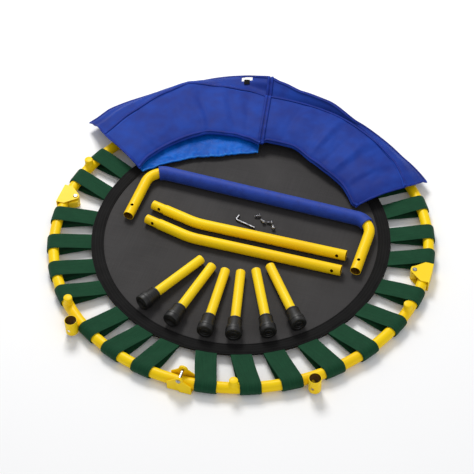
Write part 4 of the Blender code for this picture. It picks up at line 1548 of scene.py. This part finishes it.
@dataclass
class Cover:
    """The padded frame cover, folded over the far side: two panels, skirts, welts and lining."""

    pad_thick: float = 0.0115
    skin_thick: float = 0.0016
    hem_z: float = 0.022
    stand: float = 0.012
    pressure: float = 4.0
    frames: int = 20
    most_swell: float = 0.0045
    seam_held: float = 0.004
    tuck: float = 0.10
    seam_fade: float = 0.018
    stations: int = 84
    across: int = 24
    seam_angle: float = 97.6
    rise: Table = ((0.0, 0.0), (0.10, 0.42), (0.30, 0.80), (0.62, 1.0), (1.0, 0.94))
    fall: Table = ((0.0, 0.0), (0.35, 0.12), (0.75, 0.60), (1.0, 1.0))
    turn_up: Table = ((0.0, 0.0), (0.14, -0.8), (1.0, 1.0))
    swell_wide: float = 0.075
    swell_deep: float = 0.0030
    fan_deep: float = 0.0011
    crease_width: float = 1.5
    crease_share: float = 1.7
    end_pinch: float = 0.22
    edge_share: float = 0.25
    skirt_steps: int = 96
    skirt_rows: int = 20
    skirt_fold: float = 0.0026
    skirt_ripple: float = 0.0016
    hem_share: float = 0.965
    hem_size: tuple[float, float] = (0.008, 0.0022)
    tape_steps: int = 72
    tape_in: float = 0.045
    tape_thick: float = 0.0030
    tape_lift: float = 0.0012
    welt_lift: float = 0.0022
    film_edge: Table = (
        *((97.6, 0.277), (104, 0.271), (118, 0.267)),
        *((137, 0.289), (149.4, 0.309), (156.2, 0.322)),
    )
    film_span: tuple[float, float] = (98.0, 156.0)
    film_tuck: float = 0.030
    film_thick: float = 0.0010
    film_low: float = 0.0265
    film_rise: float = 0.0120
    film_crush: float = 0.0022
    film_wave: float = 0.0015
    film_roll: tuple[float, float] = (0.0050, 0.0040)
    film_lumps: float = 0.0008
    film_steps: tuple[int, int] = (110, 16)
    slot_share: float = 0.125
    slot_drop: float = 0.78
    tie_from: float = 0.13
    tie_step: float = 0.03
    tie_size: tuple[float, float] = (0.015, 0.0022)
    slot_size: Triple = (0.022, 0.028, 0.060)

    def angle(self, cut: PanelCut, share: float, radius: float) -> float:
        """The angle at a share of the way along a panel, between its slanting ends."""
        first, last = between(cut.start, radius), between(cut.end, radius)
        return first + (last - first) * share

    def top(self, cut: PanelCut, share: float, across: float) -> Vector:
        """A point on the padded panel's top.

        Args:
            cut: the panel's outline.
            share: how far along it, from 0 to 1.
            across: how far from its inner edge to its crease, from 0 to 1.

        Returns:
            The point, in the ring's frame.
        """
        nominal = self.angle(cut, share, 0.40)
        inner, crease = between(cut.inner, nominal), between(cut.crease, nominal)
        radius = inner + (crease - inner) * across
        low, high = between(cut.inner_z, nominal), between(cut.crown, nominal)
        z = low + (high - low) * between(self.rise, across)
        return polar(radius, self.angle(cut, share, radius), z)

    def pucker(self, cut: PanelCut, point: Vector, across: float, share: float) -> float:
        """How far the cloth stands up or sinks at a point, in metres."""
        broad = ripple(point, self.swell_wide, 3.1) * self.swell_deep
        angle = math.degrees(math.atan2(point.y, point.x))
        fan = math.sin(angle * 0.55 + 3.0 * ripple(point, 0.12, 1.3)) * self.fan_deep
        for at, deep in cut.creases:
            off = (angle - at) / self.crease_width - 1.2 * ripple(point, 0.09, at)
            fan += self.crease_share * deep * math.exp(-(off**2))
        edge = math.sin(math.pi * min(1.0, max(0.0, 0.12 + 0.8 * across)))
        ends = min(1.0, 10 * min(share, 1 - share))
        return (broad + fan * edge) * (0.35 + 0.65 * ends)

    def body_skin(self, cut: PanelCut) -> Skin:
        """The padded panel as a closed skin: its top, its underside and two pinched ends."""
        rows = []
        for i in range(self.stations + 1):
            share = i / self.stations
            pinch = min(1.0, self.end_pinch + 9 * min(share, 1 - share))
            row = []
            for j in range(self.across + 1):
                across = j / self.across
                point = self.top(cut, share, across)
                lift = self.pucker(cut, point, across, share)
                row.append(point + Vector((0, 0, lift)))
            for j in range(self.across, -1, -1):
                across = j / self.across
                crown = math.sin(math.pi * (0.06 + 0.88 * across))
                full = self.edge_share + (1 - self.edge_share) * crown
                thick = self.pad_thick * full * pinch
                row.append(self.top(cut, share, across) - Vector((0, 0, thick)))
            rows.append(row)
        return Skin().patch(rows, around=True).cap(rows[0]).cap(rows[-1])

    def sewn(self, cut: PanelCut, point: Vector) -> float:
        """How firmly a seam holds a point of a panel, from nought to one.

        Args:
            cut: the panel's outline.
            point: the point, in the ring's frame.

        Returns:
            One at the panel's edges and ends, falling to nought away from them.
        """
        angle = math.degrees(math.atan2(point.y, point.x))
        radius = math.hypot(point.x, point.y)
        inner, crease = between(cut.inner, angle), between(cut.crease, angle)
        first, last = between(cut.start, radius), between(cut.end, radius)
        turn = math.radians(min(angle - min(first, last), max(first, last) - angle)) * radius
        near = min(radius - inner, crease - radius, turn)
        return min(1.0, max(0.0, 1.0 - (near - self.seam_held) / self.seam_fade))

    def inflate(self, obj: bpy.types.Object, cut: PanelCut) -> None:
        """Swell a closed panel as cloth under pressure between its seams, then apply the result.

        Args:
            obj: the panel.
            cut: the panel's outline.
        """
        rest = [v.co.copy() for v in obj.data.vertices]
        group = obj.vertex_groups.new(name="seams")
        hold = [self.sewn(cut, point - middle_of_ring()) for point in rest]
        for number, held in enumerate(hold):
            group.add([number], held, "REPLACE")
        cloth = obj.modifiers.new("cloth", "CLOTH")
        cloth.settings.vertex_group_mass = group.name
        for setting, value in PANEL_CLOTH.items():
            setattr(cloth.settings, setting, value)
        cloth.settings.uniform_pressure_force = self.pressure
        cloth.settings.effector_weights.gravity = 0
        cloth.collision_settings.use_collision = False
        cloth.point_cache.frame_end = self.frames
        for number in range(1, self.frames + 1):
            bpy.context.scene.frame_set(number)
        bake_modifiers(obj)
        bpy.context.scene.frame_set(1)
        for vertex, was, held in zip(obj.data.vertices, rest, hold):
            moved = vertex.co - was
            far = moved.length
            if far > 0:
                vertex.co = was + moved * ((1 - held) * min(1.0, self.most_swell / far))
        obj.vertex_groups.clear()
        finer = obj.modifiers.new("finer", "SUBSURF")
        finer.levels = finer.render_levels = 1
        bake_modifiers(obj)
        obj.data.shade_smooth()

    def panel(self, cut: PanelCut) -> None:
        """Build one padded panel."""
        piece = self.body_skin(cut).build(f"cover_panel_{cut.side}", COVER)
        self.inflate(piece, cut)
        piece.data.shade_smooth()
        settle(piece, "frame_pad", f"frame_pad_{cut.side}")

    def skirt_point(self, cut: PanelCut, share: float, drop: float) -> Vector:
        """A point on the skirt, from the crease at 0 to the hem at 1."""
        nominal = self.angle(cut, share, 0.46)
        crease, hem = between(cut.crease, nominal), between(cut.hem, nominal)
        up = between(cut.upturn, nominal)
        high = between(cut.crown, nominal) - self.tape_lift
        hem -= 0.86 * up * (high + self.stand - self.hem_z)
        radius = crease + (hem - crease) * drop
        fall, rise = between(self.fall, drop), between(self.turn_up, drop)
        z = high + (self.hem_z - high) * fall * (1 - up) + self.stand * rise * up
        point = polar(radius, self.angle(cut, share, radius), z)
        folds = math.sin(drop * 11 + 2.2 * ripple(point, 0.16, 5.0) + share * 2.5)
        fade = math.sin(math.pi * min(1.0, drop * 0.92 + 0.04))
        size = self.skirt_fold * cut.fold_amount * fade * (0.5 + abs(ripple(point, 0.2, 9.0)))
        fine = self.skirt_ripple * ripple(point, 0.05, 2.0) * drop
        return point + Vector((0, 0, folds * size + fine))

    def sheet_skin(self, rows: list[list[Vector]], thick: float) -> Skin:
        """Give a grid of points a thin sheet's two faces and its edges.

        Args:
            rows: the upper face.
            thick: the sheet's thickness.

        Returns:
            The closed skin.
        """
        down = Vector((0, 0, -thick))
        step = (rows[1][0] - rows[0][0]).length
        wide = (rows[0][1] - rows[0][0]).length
        loops = [[*row, *(p + down for p in reversed(row))] for row in rows]
        skin = Skin().patch(loops, lambda i, j: (j * wide, i * step), around=True)
        return skin.cap(loops[0]).cap(loops[-1])

    def cloth_size(self, rows: list[list[Vector]]) -> tuple[float, float]:
        """The length and width of a strip of cloth, measured along its middle."""
        centre = len(rows[0]) // 2
        length = sum((b[centre] - a[centre]).length for a, b in zip(rows, rows[1:]))
        widths = [sum((b - a).length for a, b in zip(row, row[1:])) for row in rows]
        return length, sum(widths) / len(widths)

    def skirt(self, cut: PanelCut) -> None:
        """Build one skirt, hanging outside the ring, with its stitched hem."""
        shares = [i / self.skirt_steps for i in range(self.skirt_steps + 1)]
        reach, count = 1 + self.tuck, self.skirt_rows
        drops = [reach * j / count - self.tuck for j in range(count + 1)]
        rows = [[self.skirt_point(cut, share, drop) for drop in drops] for share in shares]
        piece = self.sheet_skin(rows, self.skin_thick).build(f"cover_skirt_{cut.side}", COVER)
        if cut is LEFT_CUT:
            self.slot(piece)
        line = [self.skirt_point(cut, share, self.hem_share) for share in shares]
        hem = self.ribbon(line, *self.hem_size)
        edge = hem.build(f"cover_hem_{cut.side}", COVER_EDGE)
        settle(piece, "frame_pad")
        settle(edge, "frame_pad")
        self.cloth_size(rows)

    def slot(self, skirt: bpy.types.Object) -> None:
        """Cut the slot for a tie near the left skirt's hem and hang the tie's end beside it.

        Args:
            skirt: the left skirt.
        """
        at = self.skirt_point(LEFT_CUT, self.slot_share, self.slot_drop)
        spin = Matrix.Rotation(math.atan2(at.y, at.x), 4, "Z")
        place = Matrix.Translation(at) @ spin
        cut_away(skirt, closed_box(self.slot_size).build("cutter", COVER, place))
        drops = [self.slot_drop - self.tie_from - self.tie_step * i for i in range(8)]
        over = Vector((0, 0, self.skin_thick))
        line = [self.skirt_point(LEFT_CUT, self.slot_share, d) + over for d in drops]
        settle(self.ribbon(line, *self.tie_size).build("cover_tie", BORDER_TAPE), "frame_pad")

    def ribbon(self, line: Sequence[Vector], width: float, thick: float) -> Skin:
        """A flat tape with rounded edges, laid along a line.

        Args:
            line: the tape's middle.
            width: its width.
            thick: its thickness.

        Returns:
            The closed skin.
        """
        heads = directions(line)
        rows, reach = [], 0.0
        lengths = [0.0]
        for a, b in zip(line, line[1:]):
            reach += (b - a).length
            lengths.append(reach)
        turns = [math.tau * k / 12 for k in range(12)]
        for point, head in zip(line, heads):
            side = Vector((0, 0, 1)).cross(head).normalized()
            up = head.cross(side)
            row = []
            for turn in turns:
                x, y = math.cos(turn), math.sin(turn)
                squared = abs(x) ** 0.6 * math.copysign(1, x)
                row.append(point + side * (squared * width / 2) + up * (y * thick / 2))
            rows.append(row)
        skin = Skin().patch(rows, lambda i, j: (j * width / 6, lengths[i]), around=True)
        return skin.cap(rows[0]).cap(rows[-1])

    def seam_line(self, cut: PanelCut, share: float) -> list[Vector]:
        """The line of an end seam, over the panel and down the skirt to its hem."""
        over = [self.top(cut, share, j / 30) for j in range(31)]
        return over + [self.skirt_point(cut, share, j / 14) for j in range(1, 15)]

    def tapes(self, cut: PanelCut) -> None:
        """Lay the seam tapes: inner edge, crease and slanting end."""
        shares = [i / self.tape_steps for i in range(self.tape_steps + 1)]
        high = Vector((0, 0, self.tape_lift))
        lines = {
            "inner": [self.top(cut, s, self.tape_in) + high for s in shares],
            "crease": [self.skirt_point(cut, s, 0.0) + high for s in shares],
            "end": self.seam_line(cut, 1.0 if cut is LEFT_CUT else 0.0),
        }
        for where, line in lines.items():
            tape = self.ribbon(line, TAPE_WIDTHS[where], self.tape_thick)
            settle(tape.build(f"cover_tape_{where}_{cut.side}", COVER_EDGE), "frame_pad")

    def welt(self) -> None:
        """Lay the double seam between the panels."""
        line = self.seam_line(RIGHT_CUT, 1.0)
        for name, (offset, width, thick, height) in WELT_TAPES.items():
            shift = polar(offset, self.seam_angle - 90, self.welt_lift * height)
            tape = self.ribbon([point + shift for point in line], width, thick)
            settle(tape.build(f"cover_welt_{name}", COVER_EDGE), "frame_pad")

    def lining(self) -> None:
        """Build the bright film of the underside, which shows past the left panel's inner edge."""
        first, last = self.film_span
        count, wide = self.film_steps
        rows = []
        for i in range(count + 1):
            angle = first + (last - first) * (i / count)
            low = between(self.film_edge, angle)
            high = between(LEFT_CUT.inner, angle) + self.film_tuck
            row = []
            for j in range(wide + 1):
                across = j / wide
                at = polar(low + (high - low) * across, angle, self.film_low + self.film_rise * across)
                crush = (1 - across) ** 2 * self.film_crush * ripple(at, 0.007, 4.0)
                row.append(at + Vector((0, 0, crush + self.film_wave * ripple(at, 0.022, 8.0))))
            rows.append(row)
        film = self.sheet_skin(rows, self.film_thick).build("cover_underside", LINING)
        roll = self.ribbon([row[0] for row in rows], *self.film_roll)
        for i, point in enumerate(roll.points):
            roll.points[i] = point + Vector((0, 0, self.film_lumps * ripple(point, 0.006, 6.0)))
        edge_piece = roll.build("cover_underside_edge", LINING)
        settle(film, "frame_pad")
        settle(edge_piece, "frame_pad")
        self.cloth_size(rows)

    def build(self) -> None:
        """Build the whole cover."""
        for cut in (RIGHT_CUT, LEFT_CUT):
            self.panel(cut)
            self.skirt(cut)
            self.tapes(cut)
        self.welt()
        self.lining()


# ----------------------------------------------------------------------------- studio


@dataclass
class Studio:
    """A pale floor, soft lights and the camera."""

    eye: Triple = (0.6808, -2.1289, 2.4838)
    right: Triple = (0.9560, 0.2932, -0.0144)
    up: Triple = (-0.2082, 0.7119, 0.6707)
    lens: float = 106.26
    sensor: float = 36.0
    floor_size: float = 12.0
    floor_colour: Colour = (0.955, 0.955, 0.96)
    sky: Colour = (0.97, 0.98, 1.0)
    sky_strength: float = 0.52

    def camera(self) -> None:
        """Place the camera."""
        data = bpy.data.cameras.new("camera")
        data.lens, data.sensor_width = self.lens, self.sensor
        camera = bpy.data.objects.new("camera", data)
        bpy.context.scene.collection.objects.link(camera)
        right = Vector(self.right).normalized()
        back = right.cross(Vector(self.up)).normalized()
        up = back.cross(right)
        turn = Matrix((right, up, back)).transposed().to_4x4()
        camera.matrix_world = Matrix.Translation(middle_of_ring() + Vector(self.eye)) @ turn
        bpy.context.scene.camera = camera

    def light(self, name: str, at: Triple, size: float, power: float, colour: Colour) -> None:
        """Hang one square lamp that faces the ring's middle.

        Args:
            name: the lamp's name.
            at: its place in the ring's frame.
            size: its width.
            power: its power in watts.
            colour: its colour.
        """
        data = bpy.data.lights.new(name, "AREA")
        data.shape, data.size = "SQUARE", size
        data.energy, data.color = power, colour
        lamp = bpy.data.objects.new(name, data)
        bpy.context.scene.collection.objects.link(lamp)
        lamp.location = middle_of_ring() + Vector(at)
        lamp.rotation_mode = "QUATERNION"
        lamp.rotation_quaternion = (-Vector(at)).to_track_quat("-Z", "Y")

    def floor(self) -> None:
        """Lay the floor just under the object."""
        half = self.floor_size / 2
        graph = Graph("floor_paint")
        speckle = graph.mottle(graph.place(), 3.0, 3.0)
        tint = tuple(c * 0.99 for c in self.floor_colour)
        paint = graph.mix(speckle, self.floor_colour, tint)
        material = graph.surface({"Base Color": paint}, {"Roughness": 0.9, "Specular IOR Level": 0.1})
        mesh = bpy.data.meshes.new("floor")
        corners = [(-half, -half, 0), (half, -half, 0), (half, half, 0), (-half, half, 0)]
        mesh.from_pydata([(x, y, CAD_BOX[0][2] - 0.0003) for x, y, _ in corners], [], [(0, 1, 2, 3)])
        mesh.materials.append(material)
        floor = bpy.data.objects.new("floor", mesh)
        bpy.context.scene.collection.objects.link(floor)

    def build(self) -> None:
        """Set up the camera, the lights, the sky and the floor."""
        scene = bpy.context.scene
        scene.view_settings.view_transform = "Standard"
        world = bpy.data.worlds.new("studio")
        world.use_nodes = True
        sky = world.node_tree.nodes["Background"]
        sky.inputs["Color"].default_value = (*self.sky, 1)
        sky.inputs["Strength"].default_value = self.sky_strength
        scene.world = world
        self.camera()
        self.light("key", (-1.1, 1.9, 2.7), 1.2, 88.0, (1.0, 0.99, 0.97))
        self.light("fill", (2.0, -1.8, 2.4), 2.2, 16.0, (0.97, 0.985, 1.0))
        self.floor()


def main() -> None:
    """Build every sub-assembly in order."""
    logging.basicConfig(level=logging.INFO, format="%(message)s", stream=sys.stdout)
    Studio().build()
    Ring().build()
    Mat().build()
    Hinges().build()
    Legs().build()
    Handlebar().build()
    LowerBars().build()
    Fixings().build()
    Cover().build()


if __name__ == "__main__":
    main()
